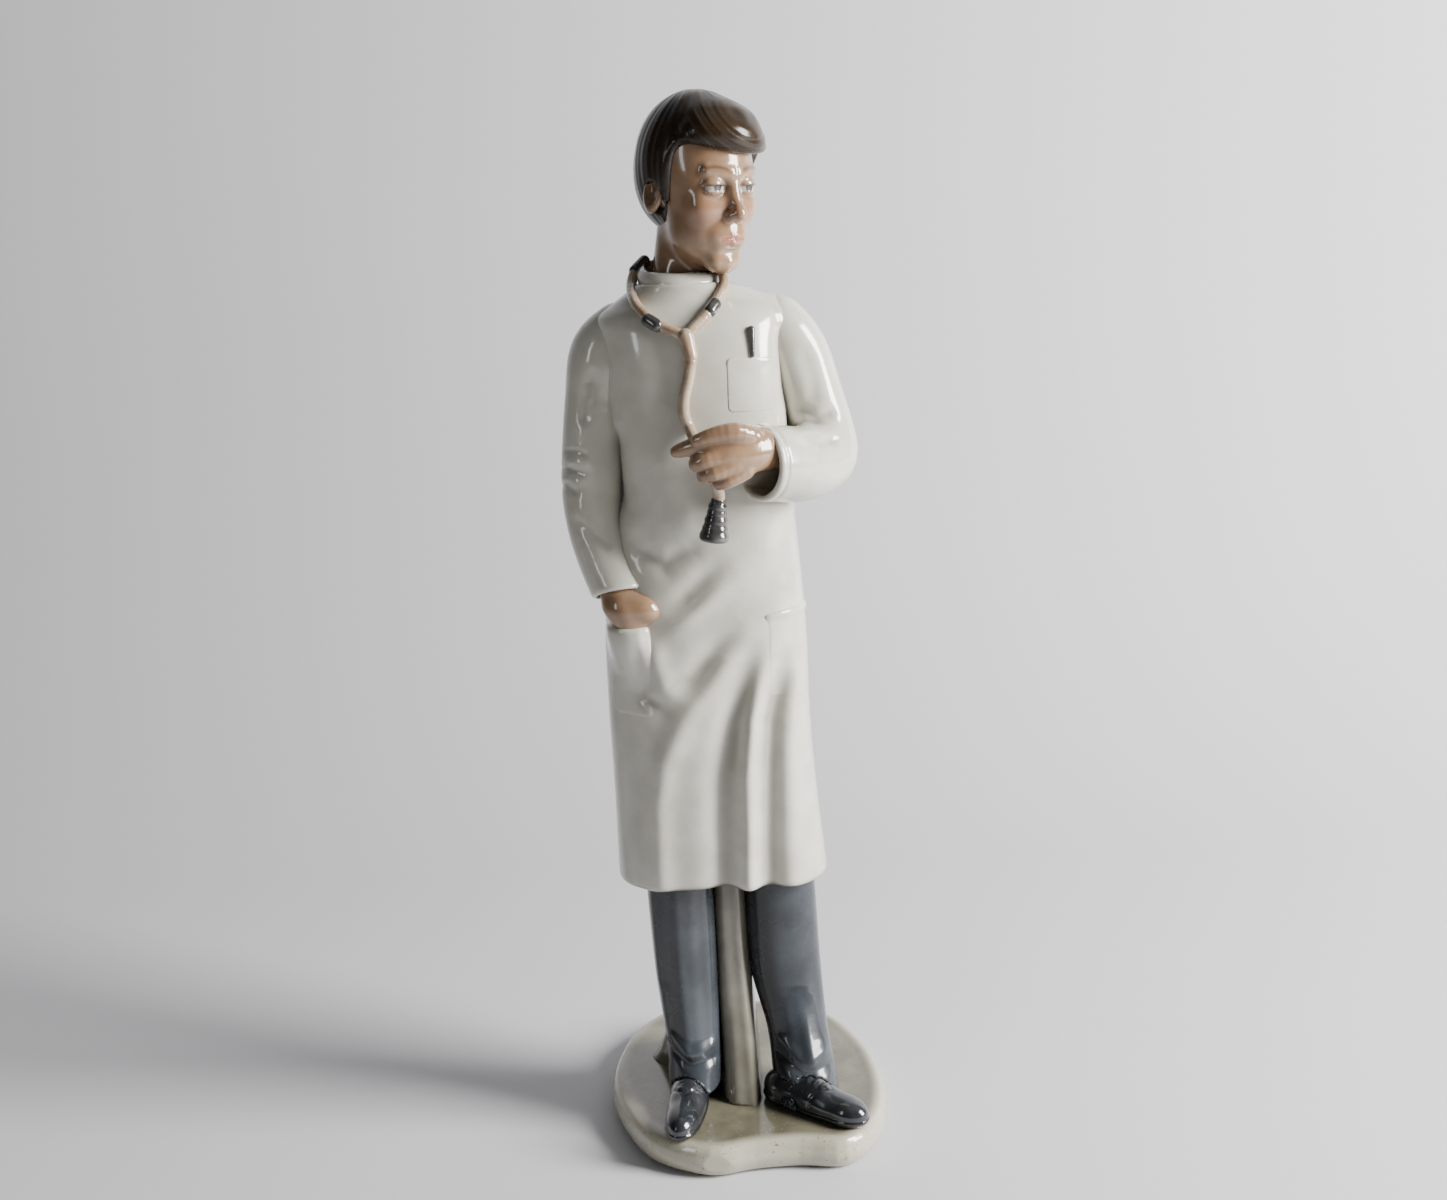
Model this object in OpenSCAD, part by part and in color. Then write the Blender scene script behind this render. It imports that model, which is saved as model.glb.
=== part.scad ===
// Porcelain figurine of a standing young doctor in a long white coat.
// The figure faces -Y and stands on +Z; its own right side is on -X.
// The origin is the middle of the overall box, on the surface it stands on.

/* [Plinth] */
// Width of the plinth, side to side
base_w = 110; // [100:1:140]
// Depth of the plinth, front to back
base_d = 121; // [112:1:150]
// Thickness of the plinth
base_h = 13; // [11:0.5:18]
// Width of the foot ring round the recess underneath
foot_ring_w = 6; // [4:0.5:9]
// Depth of the recess underneath
recess_h = 7; // [5:0.5:8]
// Diameter of the firing vents
vent_d = 6; // [4:0.5:8]

/* [Legs and shoes] */
// Height of a trouser leg, from the plinth to the web in the coat
leg_h = 102; // [85:1:125]
// Width of a trouser leg at the top
leg_w = 26; // [22:0.5:30]
// Width of a trouser leg at the ankle
ankle_w = 21; // [18:0.5:25]
// Distance between the two legs' axes at the top
stance_w = 39; // [36:0.5:42]
// Wall of the hollow legs
leg_wall = 4; // [3:0.5:6]
// Length of a shoe
shoe_l = 51; // [43:0.5:61]
// Greatest width of a shoe
shoe_w = 18; // [15:0.5:21]
// Height of a shoe at the instep
shoe_h = 16; // [13:0.5:19]

/* [Coat] */
// Height of the coat, from its hem to the neck opening
coat_h = 224; // [187:1:269]
// Width of the coat at the hem
hem_w = 81; // [72:1:97]
// Depth of the coat at the hem
hem_d = 54; // [48:1:65]
// Width at the hips
hip_w = 75; // [65:1:90]
// Depth at the hips
hip_d = 49; // [42:1:58]
// Width at the waist
waist_w = 64; // [56:1:76]
// Depth at the waist
waist_d = 45; // [40:1:54]
// Width at the chest, without the sleeves
chest_w = 64; // [56:1:76]
// Depth at the chest
chest_d = 44; // [38:1:53]
// Width across the shoulder seams
shoulder_w = 68; // [60:1:80]
// How far the hem hangs below the web that closes the coat
hem_drop = 12; // [8:1:18]
// Thickness of the coat at the hem
hem_wall = 4; // [3:0.5:6]
// Thickness of the web
web_t = 6; // [4:0.5:9]
// Thickness left at the sides of the casting core
core_side = 13; // [9:0.5:18]
// Thickness left in front of and behind the casting core
core_front = 9; // [6:0.5:13]

/* [Collar and neck] */
// Outer diameter of the rolled collar at its foot
collar_d = 35; // [31:0.5:42]
// Height of the collar
collar_h = 21; // [17:0.5:25]
// Thickness of the collar's roll
collar_t = 3.6; // [2.8:0.1:4.6]
// Forward lean of the collar, in degrees
collar_lean = 9; // [0:1:14]
// Diameter of the neck
neck_d = 21; // [18:0.5:25]
// Depth of the socket that takes the neck plug
socket_h = 10; // [7:0.5:14]
// Gap between the neck plug and its socket
neck_gap = 0.4; // [0.2:0.1:0.8]

/* [Head] */
// Height of the head, from chin to crown
head_h = 60; // [50:1:72]
// Width of the head
head_w = 38; // [32:0.5:46]
// Depth of the head, from forehead to back
head_d = 48; // [40:0.5:58]
// Height of the chin above the coat's neck opening
chin_rise = 4; // [1:0.5:8]
// Turn of the head towards the figure's left, in degrees
head_turn = 38; // [0:1:60]
// Downward nod of the head, in degrees
head_nod = 7; // [0:1:15]
// Thickness of the hair
hair_t = 3.6; // [2.5:0.1:5]

/* [Arms and hands] */
// Thickness of a sleeve at the upper arm
sleeve_w = 24; // [20:0.5:28]
// Thickness of a sleeve at the elbow
elbow_w = 22; // [18:0.5:26]
// Outer diameter of the left cuff
cuff_d = 25; // [21:0.5:30]
// Outer diameter of the right sleeve's end
wrist_d = 18; // [15:0.5:21]
// Wall of a cuff
cuff_wall = 2.2; // [1.6:0.1:3]
// Depth of the hollow in a cuff
cuff_hollow = 12; // [8:0.5:16]
// Diameter of a finger
finger_d = 5; // [4.2:0.1:6]

/* [Pockets and pen] */
// Thickness of a patch pocket
pocket_t = 1.6; // [1:0.1:2.4]
// Width of a hip pocket
hip_pocket_w = 30; // [25:0.5:36]
// Height of a hip pocket
hip_pocket_h = 38; // [32:0.5:46]
// Width of the breast pocket
breast_pocket_w = 17; // [14:0.5:20]
// Height of the breast pocket
breast_pocket_h = 19; // [16:0.5:23]
// Diameter of the pen
pen_d = 2.6; // [2:0.1:3.4]
// Length of pen above the pocket's edge
pen_l = 8; // [6:0.5:11]

/* [Stethoscope] */
// Diameter of the rubber tube
tube_d = 4; // [3.4:0.1:5]
// Diameter of an ear tube
ear_tube_d = 3.2; // [2.6:0.1:4]
// Diameter of the dark bands on the ear tubes
band_d = 4.4; // [3.8:0.1:5.4]
// Largest diameter of the chest piece
bell_d = 11.5; // [9.5:0.5:14]
// Length of the chest piece
bell_l = 16; // [13:0.5:20]

/* [Hidden] */

// Points round a lofted body, round a limb and round a thin tube
body_points = 36;
head_points = 28;
limb_points = 18;
tube_points = 10;
// The figure stands this far in front of the middle of the plinth
figure_y = -6;
// Middle of the plinth's outline, in the figure's own frame
base_mid = [3, 6.6];

base_top = base_h;
web_z = base_top + leg_h;
hem_z = web_z - hem_drop;
neck_z = hem_z + coat_h;
chin_z = neck_z + chin_rise;
// Middle of the neck and of the head, in plan
neck_xy = [-11, 0];
head_xy = [-5, -3];

// ---- Curves and lofts ----

function unit(v) = v / norm(v);

// Catmull-Rom curve through points of any size, open or closed
function spline_at(a, b, c, d, t) =
    0.5 * (2 * b + (c - a) * t + (2 * a - 5 * b + 4 * c - d) * t * t + (3 * b - a - 3 * c + d) * t * t * t);
function open_spline(p, steps) = let (last = len(p) - 1) concat(
    [for (i = [0:last - 1]) for (k = [0:steps - 1])
        spline_at(p[max(i - 1, 0)], p[i], p[i + 1], p[min(i + 2, last)], k / steps)],
    [p[last]]);
function closed_spline(p, steps) = let (m = len(p))
    [for (i = [0:m - 1]) for (k = [0:steps - 1])
        spline_at(p[(i + m - 1) % m], p[i], p[(i + 1) % m], p[(i + 2) % m], k / steps)];

// Level rounded section: middle, half width, half depth and squareness
function level_ring(mid, half_w, half_d, power, count) =
    [for (i = [0:count - 1]) let (a = 360 * i / count, c = cos(a), s = sin(a))
        [mid.x + half_w * sign(c) * pow(abs(c), 2 / power),
         mid.y + half_d * sign(s) * pow(abs(s), 2 / power), mid.z]];

// Solid skin over rings that all have the same number of points
module skin(rings) {
    m = len(rings[0]);
    last = len(rings) - 1;
    sides = [for (j = [0:last - 1]) for (i = [0:m - 1])
        let (a = j * m + i, b = j * m + (i + 1) % m)
        each [[a, a + m, b], [b, a + m, b + m]]];
    bottom = [for (i = [0:m - 1]) i];
    top = [for (i = [m - 1:-1:0]) last * m + i];
    polyhedron([for (ring = rings) each ring], concat([bottom], sides, [top]));
}

// Limb along stations [x, y, z, half width, half thickness], its width lying along side
function limb_ring(station, along, side, count) =
    let (u = unit(side - along * (side * along)), v = cross(along, u))
    [for (i = [0:count - 1]) let (a = 360 * i / count)
        [station.x, station.y, station.z] + u * station[3] * cos(a) + v * station[4] * sin(a)];
module limb(stations, side = [1, 0, 0], count = limb_points, steps = 3) {
    path = open_spline(stations, steps);
    last = len(path) - 1;
    place = [for (s = path) [s.x, s.y, s.z]];
    skin([for (i = [0:last])
        limb_ring(path[i], unit(place[min(i + 1, last)] - place[max(i - 1, 0)]), side, count)]);
}
// Column along the same kind of stations, with level sections
module column(stations, wall = 0, steps = 3) skin([for (s = open_spline(stations, steps))
    level_ring([s.x, s.y, s.z], s[3] - wall, s[4] - wall, 2, limb_points)]);
// Round tube of one diameter through points
module tube(points, d, steps = 4) {
    limb([for (p = points) [p.x, p.y, p.z, d / 2, d / 2]], [0.3, 0.9, 0.3], tube_points, steps);
}
// Ball-like end stations keep a limb's tip round
function tip(p, d) = [p.x, p.y, p.z, d, d];

// Whatever is inside becomes one mesh of the same size
module blended() resize([0, 0, 0]) children();
module figure() translate([0, figure_y, 0]) children();

// ---- The coat's outer form ----

// Sections up the coat: height as a share, middle x, middle y, width, depth
coat_sections = [
    [0.00, -3.8, 0, hem_w, hem_d],
    [0.16, -5.6, 0, (hem_w + hip_w) / 2, (hem_d + hip_d) / 2 + 1],
    [0.32, -7.2, 0, hip_w + 1, hip_d + 1.5],
    [0.46, -7.0, -1, hip_w, hip_d],
    [0.65, -4.8, -3, waist_w, waist_d],
    [0.80, -6.8, -4, (waist_w + chest_w) / 2, (waist_d + chest_d) / 2],
    [0.90, -7.6, -4, chest_w, chest_d],
    [0.945, -8.2, -3, shoulder_w, chest_d - 6],
    [0.975, -8.5, -1, shoulder_w - 14, chest_d - 13],
    [1.00, -11, 0, collar_d - 1, collar_d - 6]];
coat_power = 2.3;
function coat_value(share, column) = lookup(share, [for (s = coat_sections) [s[0], s[column]]]);
function coat_mid(share) = [coat_value(share, 1), coat_value(share, 2), hem_z + coat_h * share];
function coat_ring(share, grow) = level_ring(coat_mid(share), coat_value(share, 3) / 2 + grow,
    coat_value(share, 4) / 2 + grow, coat_power, body_points);
// Point on the coat: across is -1 to 1, up is the share of the height, lift stands off the cloth
function on_front(across, up, lift = 0) = let (m = coat_mid(up))
    [m.x + across * coat_value(up, 3) / 2,
     m.y - coat_value(up, 4) / 2 * pow(1 - pow(abs(across), coat_power), 1 / coat_power) - lift, m.z];
function on_back(across, up, lift = 0) = let (p = on_front(across, up, lift), m = coat_mid(up))
    [p.x, 2 * m.y - p.y, p.z];
coat_levels = [0, 0.08, 0.16, 0.24, 0.32, 0.39, 0.46, 0.52, 0.58, 0.65, 0.7, 0.75, 0.8,
    0.85, 0.9, 0.925, 0.945, 0.96, 0.975, 0.99, 1];
module coat_form(grow = 0) skin([for (s = coat_levels) coat_ring(s, grow)]);

// ---- Plinth, post, shoes and trousers ----

// Outline of the plinth as shares of half its width and half its depth
plinth_outline = [[-1, -0.12], [-0.87, -0.55], [-0.66, -0.85], [-0.28, -1.02], [0.04, -0.965],
    [0.33, -0.945], [0.66, -0.96], [0.9, -0.73], [1, -0.36], [0.985, 0.05], [0.89, 0.4],
    [0.68, 0.76], [0.32, 0.98], [-0.12, 1], [-0.55, 0.93], [-0.83, 0.68], [-0.97, 0.3]];
plinth_curve = closed_spline(plinth_outline, 3);
function plinth_ring(inset, z) = [for (p = plinth_curve)
    [base_mid.x + p.x * (base_w / 2 - inset), base_mid.y + p.y * (base_d / 2 - inset), z]];

module base_plinth() color("#d8d2bd") figure() difference() {
    skin([plinth_ring(1.5, 0), plinth_ring(0.3, 1.5), plinth_ring(0, base_h * 0.35),
        plinth_ring(0.3, base_h * 0.65), plinth_ring(1.6, base_h * 0.87), plinth_ring(4.5, base_h)]);
    translate([0, 0, -1])
        linear_extrude(recess_h + 1)
            polygon([for (p = plinth_ring(foot_ring_w + 1.5, 0)) [p.x, p.y]]);
    for (p = [post_foot, shoe_heel_right, shoe_heel_left])
        translate([p.x, p.y, 0])
            cylinder(h = base_h + 1, d = vent_d, $fn = 32);
}

post_foot = [-1, 4];
post_bore = vent_d + 1;
module post_form() {
    column([[1, -4, base_top, 8.5, 21], [0.5, -2, base_top + leg_h * 0.17, 8, 17],
        [-1, 1, base_top + leg_h * 0.46, 7.5, 13], [-2, 3, web_z, 6.5, 9]]);
    column([[-14, 19, base_top, 23, 12], [-11, 17, base_top + 8, 15, 9],
        [-8, 14, base_top + 18, 9, 7], [-5, 11, base_top + 30, 4, 4]]);
}
module support_post() color("#8f877a") figure() blended() difference() {
    post_form();
    column(leg_right_stations);
    column(leg_left_stations);
    shoe_form_right();
    shoe_form_left();
    translate([post_foot.x, post_foot.y, base_top - 1])
        cylinder(h = leg_h + 2, d = post_bore, $fn = 24);
}

// Stations down each leg, from the web to the trouser hem over the shoe
hem_gap = 6;
leg_mid_x = -1.8;
leg_top_right = [leg_mid_x - stance_w / 2, -4];
leg_top_left = [leg_mid_x + stance_w / 2, -2];
leg_right_stations = [
    [leg_top_right.x - 2.5, leg_top_right.y - 11, base_top + hem_gap, ankle_w / 2 + 0.5, ankle_w / 2 + 2],
    [leg_top_right.x + 3.6, leg_top_right.y - 7, base_top + 19, ankle_w / 2, ankle_w / 2 + 1.5],
    [leg_top_right.x + 1.8, leg_top_right.y - 2, base_top + 49, leg_w / 2 - 0.6, leg_w / 2],
    [leg_top_right.x, leg_top_right.y, web_z, leg_w / 2, leg_w / 2 + 1]];
leg_left_stations = [
    [leg_top_left.x + 7, leg_top_left.y - 8, base_top + hem_gap, ankle_w / 2 + 2, ankle_w / 2 + 1.5],
    [leg_top_left.x + 6.5, leg_top_left.y - 5, base_top + 19, ankle_w / 2 + 0.8, ankle_w / 2 + 1.5],
    [leg_top_left.x + 2.2, leg_top_left.y - 1, base_top + 49, leg_w / 2 + 0.4, leg_w / 2],
    [leg_top_left.x, leg_top_left.y, web_z, leg_w / 2, leg_w / 2 + 1]];
module trouser_leg(stations) difference() {
    column(stations);
    for (shift = [-1, 1])
        translate([0, 0, shift])
            column(stations, leg_wall);
    children();
}
module trouser_leg_right() color("#7f8589") figure() blended()
    trouser_leg(leg_right_stations) shoe_form_right();
module trouser_leg_left() color("#7f8589") figure() blended()
    trouser_leg(leg_left_stations) shoe_form_left();

// Shoe along -Y from its heel: share of the length, middle height, half width, half height
shoe_sections = [[0, 0.35, 0.16, 0.2], [0.05, 0.4, 0.38, 0.5], [0.22, 0.42, 0.44, 0.58],
    [0.42, 0.38, 0.46, 0.56], [0.62, 0.28, 0.49, 0.42], [0.82, 0.2, 0.45, 0.3],
    [0.95, 0.18, 0.3, 0.2], [1, 0.16, 0.12, 0.1]];
module shoe_form() intersection() {
    limb([for (s = shoe_sections) [0, -s[0] * shoe_l, s[1] * shoe_h, s[2] * shoe_w, s[3] * shoe_h]]);
    translate([-shoe_l, -2 * shoe_l, 0])
        cube([2 * shoe_l, 3 * shoe_l, 2 * shoe_h]);
}
shoe_turn_right = -7;
shoe_turn_left = 52;
shoe_heel_right = [leg_right_stations[0].x + 6.5, leg_right_stations[0].y + 14];
shoe_heel_left = [leg_left_stations[0].x - 14, leg_left_stations[0].y - 1];
module at_shoe(heel, turn) translate([heel.x, heel.y, base_top]) rotate([0, 0, turn]) children();
module shoe_form_right() at_shoe(shoe_heel_right, shoe_turn_right) shoe_form();
module shoe_form_left() at_shoe(shoe_heel_left, shoe_turn_left) shoe_form();
module shoe_right() color("#25282a") figure() blended() shoe_form_right();
module shoe_left() color("#25282a") figure() blended() shoe_form_left();

// ---- Coat, collar and sleeves ----

core_w = min(waist_w, chest_w) - 2 * core_side;
core_d = min(waist_d, chest_d) - 2 * core_front;
core_mid = [-6, -4];
core_top_share = 0.86;
module coat_body() color("#efeeea") figure() blended() difference() {
    coat_form();
    // Recess inside the hem
    skin([for (z = [-1, hem_drop / 2, hem_drop]) let (r = coat_ring(max(z, 0) / coat_h, -hem_wall))
        [for (p = r) [p.x, p.y, hem_z + z]]]);
    // Casting core with round ends, vented down through the post and up through the neck
    translate([core_mid.x, core_mid.y, web_z + web_t])
        linear_extrude(hem_z + coat_h * core_top_share - web_z - web_t)
            hull()
                for (side = [-1, 1])
                    translate([side * (core_w - core_d) / 2, 0])
                        circle(d = core_d, $fn = 40);
    translate([post_foot.x, post_foot.y, web_z - 1])
        cylinder(h = web_t + 2, d = vent_d, $fn = 24);
    translate([neck_xy.x, neck_xy.y, neck_z - socket_h])
        cylinder(h = socket_h + 1, d = neck_d + 2 * neck_gap, $fn = 48);
    translate([neck_xy.x, neck_xy.y, hem_z + coat_h * core_top_share - 1])
        cylinder(h = coat_h * (1 - core_top_share), d = vent_d, $fn = 24);
}

collar_sink = 9;
module collar_form(hole_d = 0) translate([neck_xy.x, neck_xy.y, neck_z - collar_sink])
    rotate([collar_lean, 0, 0]) rotate_extrude($fn = 48)
        polygon([[hole_d / 2, 0], [collar_d / 2 + 1, 0], [collar_d / 2, collar_h * 0.35],
            [neck_d / 2 + neck_gap + collar_t, collar_h * 0.8],
            [neck_d / 2 + neck_gap + collar_t * 0.85, collar_h * 0.95],
            [neck_d / 2 + neck_gap + collar_t * 0.4, collar_h], [hole_d / 2, collar_h * 0.93]]);
module coat_collar() color("#f1efe9") figure() blended() difference() {
    collar_form(neck_d + 2 * neck_gap);
    coat_form();
    head_form();
}

// Shoulder points follow the coat's own width
shoulder_right = [coat_value(0.9, 1) - shoulder_w / 2 + sleeve_w * 0.24, -1, hem_z + coat_h * 0.9];
shoulder_left = [coat_value(0.9, 1) + shoulder_w / 2 - sleeve_w * 0.12, -2, hem_z + coat_h * 0.92];
sleeve_right_stations = [
    [shoulder_right.x + 7, shoulder_right.y, shoulder_right.z + 9, 4, 6],
    [shoulder_right.x + 1, shoulder_right.y + 1, shoulder_right.z + 2, sleeve_w * 0.46, sleeve_w * 0.56],
    [shoulder_right.x - 7.5, shoulder_right.y + 4, shoulder_right.z - 22, sleeve_w * 0.44, sleeve_w * 0.52],
    [shoulder_right.x - 11.5, shoulder_right.y + 8, shoulder_right.z - 46, elbow_w * 0.45, elbow_w * 0.52],
    [shoulder_right.x - 11.5, shoulder_right.y + 6, shoulder_right.z - 60, elbow_w * 0.46, elbow_w * 0.5],
    [shoulder_right.x - 5, shoulder_right.y - 6, shoulder_right.z - 78, wrist_d * 0.52, wrist_d * 0.56],
    [shoulder_right.x + 1, shoulder_right.y - 14, shoulder_right.z - 90, wrist_d / 2, wrist_d / 2]];
module sleeve_right() color("#ecebe6") figure() blended() difference() {
    limb(sleeve_right_stations);
    coat_form();
    hand_form_right();
}

cuff_end = [shoulder_left.x - 10, shoulder_left.y - 29, shoulder_left.z - 45];
cuff_axis = unit([-10, -10, 1]);
sleeve_left_stations = [
    [shoulder_left.x - 7, shoulder_left.y, shoulder_left.z + 10, 4, 6],
    [shoulder_left.x, shoulder_left.y, shoulder_left.z + 1, sleeve_w * 0.42, sleeve_w * 0.54],
    [shoulder_left.x + 8, shoulder_left.y + 2, shoulder_left.z - 22, sleeve_w * 0.42, sleeve_w * 0.5],
    [shoulder_left.x + 14, shoulder_left.y + 3, shoulder_left.z - 39, elbow_w * 0.5, elbow_w * 0.55],
    [shoulder_left.x + 13.5, shoulder_left.y - 5, shoulder_left.z - 48.5, elbow_w * 0.53, elbow_w * 0.56],
    [shoulder_left.x + 4, shoulder_left.y - 16.5, shoulder_left.z - 47, cuff_d * 0.48, cuff_d * 0.48],
    [cuff_end.x, cuff_end.y, cuff_end.z, cuff_d / 2, cuff_d / 2]];
module sleeve_left() color("#ecebe6") figure() blended() difference() {
    limb(sleeve_left_stations, [0.4, 0.4, 1]);
    coat_form();
    // Open cuff round the wrist
    limb([for (s = [-cuff_hollow, 3]) let (p = cuff_end + cuff_axis * s)
        [p.x, p.y, p.z, cuff_d / 2 - cuff_wall, cuff_d / 2 - cuff_wall]], [0.4, 0.4, 1]);
    hand_form_left();
}

// ---- Hands ----

function finger(points, d) = [for (i = [0:len(points) - 1])
    let (p = points[i], end = i == len(points) - 1, k = end ? 0.3 : 1 - 0.12 * i / len(points))
    [p.x, p.y, p.z, d / 2 * k, d / 2 * k]];
module finger_limb(points, d = finger_d) limb(finger(points, d), [0.3, 0.9, 0.3], 12, 3);

// The left hand holds the tube in front of the belly
palm_left = cuff_end + [-4, -6, 4.5];
wrist_left = cuff_end - cuff_axis * cuff_hollow + [2, -2, 3];
module hand_form_left() {
    limb([[wrist_left.x, wrist_left.y, wrist_left.z, 6, 6],
        [palm_left.x + 8, palm_left.y + 3, palm_left.z + 2, 6.5, 5.5],
        [palm_left.x, palm_left.y, palm_left.z, 8.6, 5.5],
        [palm_left.x - 8, palm_left.y - 1, palm_left.z + 1, 7.5, 4.6],
        [palm_left.x - 12, palm_left.y - 1, palm_left.z + 1, 3, 2.5]], [0, 0.3, 1]);
    // Index finger points across the tube, the others curl down round it
    finger_limb([palm_left + [-9, -1, 4], palm_left + [-15, -1.5, 3], palm_left + [-20, -0.5, 1],
        palm_left + [-25.5, 1, -1]]);
    for (k = [0:2])
        finger_limb([palm_left + [-8 + k * 1.5, -2, 0 - k * 4], palm_left + [-14 + k * 2, -3, -3.5 - k * 3.5],
            palm_left + [-17 + k * 2.6, 0, -7.5 - k * 3.2], palm_left + [-14 + k * 2.2, 4, -10 - k * 2.6]]);
    // Thumb lies along the top
    finger_limb([palm_left + [2, -1, 6], palm_left + [-5, -2, 8.5], palm_left + [-12, -1.5, 8],
        palm_left + [-18, 0, 6]], finger_d * 1.1);
}
module hand_left() color("#b5967a") figure() blended() difference() {
    hand_form_left();
    coat_form();
    tube(tube_upper_path, tube_d);
    tube(tube_lower_path, tube_d);
}

// The right hand goes into the hip pocket, knuckles forward
wrist_right = sleeve_right_stations[6];
palm_right = [wrist_right.x + 2, wrist_right.y - 3, wrist_right.z - 4];
module hand_form_right() {
    limb([[wrist_right.x - 1, wrist_right.y + 3, wrist_right.z + 6.4, 6, 5.5],
        [wrist_right.x + 0.3, wrist_right.y - 0.4, wrist_right.z - 0.8, 7.3, 6.4],
        [palm_right.x - 0.5, palm_right.y, palm_right.z, 9.8, 8],
        [palm_right.x + 2, palm_right.y, palm_right.z - 8, 9, 7],
        [palm_right.x + 5, palm_right.y + 1, palm_right.z - 18, 6, 4]], [1, -0.3, 0]);
    finger_limb([palm_right + [4, -4, 4], palm_right + [8, -4, 0], palm_right + [10, -3, -6],
        palm_right + [11, -1, -12]], finger_d * 1.15);
}
module hand_right() color("#bfa285") figure() blended() difference() {
    hand_form_right();
    coat_form();
}

// ---- Pockets and pen ----

// Patch of cloth on the coat, seen from the front: middle, size and turn
module front_patch(mid, w, h, turn) intersection() {
    coat_form(pocket_t);
    translate([mid.x, 0, mid.z])
        rotate([0, turn, 0])
            rotate([90, 0, 0])
                translate([-w / 2, -h / 2, 0])
                    linear_extrude(hem_d)
                        polygon([[w * 0.08, 0], [w * 0.92, 0], [w, h * 0.08], [w, h], [0, h], [0, h * 0.08]]);
}
hip_pocket_mid_right = [palm_right.x + 5, palm_right.y, palm_right.z - 6 - hip_pocket_h / 2];
module hip_pocket_right() color("#e9e8e2") figure() blended() difference() {
    union() {
        front_patch(hip_pocket_mid_right, hip_pocket_w, hip_pocket_h, -6);
        // Bulge over the fist
        limb([[palm_right.x + 1, palm_right.y + 1, palm_right.z - 6, 11.5, 9.5],
            [palm_right.x + 4, palm_right.y + 1, palm_right.z - 14, 11, 9],
            [palm_right.x + 9, palm_right.y + 2, palm_right.z - 25, 8, 6],
            [palm_right.x + 12, palm_right.y + 4, palm_right.z - 34, 3, 3]], [1, -0.3, 0]);
    }
    coat_form();
    hand_form_right();
    limb(sleeve_right_stations);
}
hip_pocket_mid_left = on_front(0.8, 0.4);
module hip_pocket_left() color("#e9e8e2") figure() blended() difference() {
    front_patch(hip_pocket_mid_left, hip_pocket_w * 0.6, hip_pocket_h, 4);
    coat_form();
}
breast_pocket_mid = on_front(0.68, 0.855);
module breast_pocket() color("#e9e8e2") figure() blended() difference() {
    front_patch(breast_pocket_mid, breast_pocket_w, breast_pocket_h, 3);
    coat_form();
    pen_form();
    limb(sleeve_left_stations, [0.4, 0.4, 1]);
}
pen_foot = breast_pocket_mid + [-1, -0.4, breast_pocket_h / 2 - 6];
module pen_form() translate(pen_foot) rotate([-6, -3, 0])
    cylinder(h = pen_l + 6, d = pen_d, $fn = 20);
module pen() color("#3a3a3c") figure() blended() difference() {
    pen_form();
    coat_form();
}

// ---- Head and hair ----

// Sections of the head from chin to crown: share of height, middle depth, width and depth
head_sections = [[0, -0.26, 0.26, 0.22], [0.05, -0.2, 0.44, 0.4], [0.13, -0.13, 0.62, 0.6],
    [0.25, -0.06, 0.8, 0.8], [0.4, -0.01, 0.92, 0.92], [0.56, 0.01, 1, 1], [0.72, 0.02, 0.99, 1],
    [0.86, 0.02, 0.86, 0.87], [0.95, 0.02, 0.6, 0.62], [1, 0.02, 0.24, 0.26]];
module at_head() translate([head_xy.x, head_xy.y, chin_z + head_h / 2])
    rotate([head_nod, 0, head_turn]) translate([0, 0, -head_h / 2]) children();
module skull(grow = 0, from = 0) skin([for (s = open_spline(head_sections, 2)) if (s[0] >= from)
    level_ring([0, s[1] * head_d, s[0] * (head_h + grow)], s[2] * head_w / 2 + grow,
        s[3] * head_d / 2 + grow, 2.15, head_points)]);
module neck() limb([
    [neck_xy.x, neck_xy.y, neck_z - socket_h + 0.5, neck_d / 2, neck_d / 2],
    [neck_xy.x, neck_xy.y, neck_z + 6, neck_d / 2, neck_d / 2],
    [head_xy.x - 3, head_xy.y + 3, chin_z + head_h * 0.2, neck_d / 2, neck_d / 2 + 1],
    [head_xy.x, head_xy.y + 2, chin_z + head_h * 0.4, neck_d / 2, neck_d / 2]], [1, 0, 0], 28, 2);
module ear() skin([for (s = [[-1.2, 0.5], [-0.6, 0.9], [0.4, 1], [1.2, 0.6]])
    [for (a = [0:30:330]) [s[0], 3.4 * s[1] * cos(a), 5.6 * s[1] * sin(a)]]]);
module head_form() {
    neck();
    at_head() {
        skull();
        // Nose, brow and ears on plain proportions
        limb([[0, -head_d * 0.45, head_h * 0.53, 1.5, 2.5], [0, -head_d * 0.5, head_h * 0.42, 2, 2.5],
            [0, -head_d * 0.53, head_h * 0.34, 3, 3], [0, -head_d * 0.47, head_h * 0.3, 1.5, 1]],
            [1, 0, 0], 12, 2);
        for (side = [0, 1])
            mirror([side, 0, 0])
                translate([head_w * 0.48, head_d * 0.06, head_h * 0.42])
                    ear();
    }
}
module head() color("#bfa083") figure() blended() difference() {
    head_form();
    // Casting core, vented down through the neck
    at_head()
        translate([0, head_d * 0.03, head_h * 0.6])
            sphere(d = head_w * 0.7, $fn = 20);
    translate([neck_xy.x, neck_xy.y, neck_z - socket_h - 1])
        cylinder(h = head_h * 0.7, d = vent_d, $fn = 24);
}
hair_line = 0.2;
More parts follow.
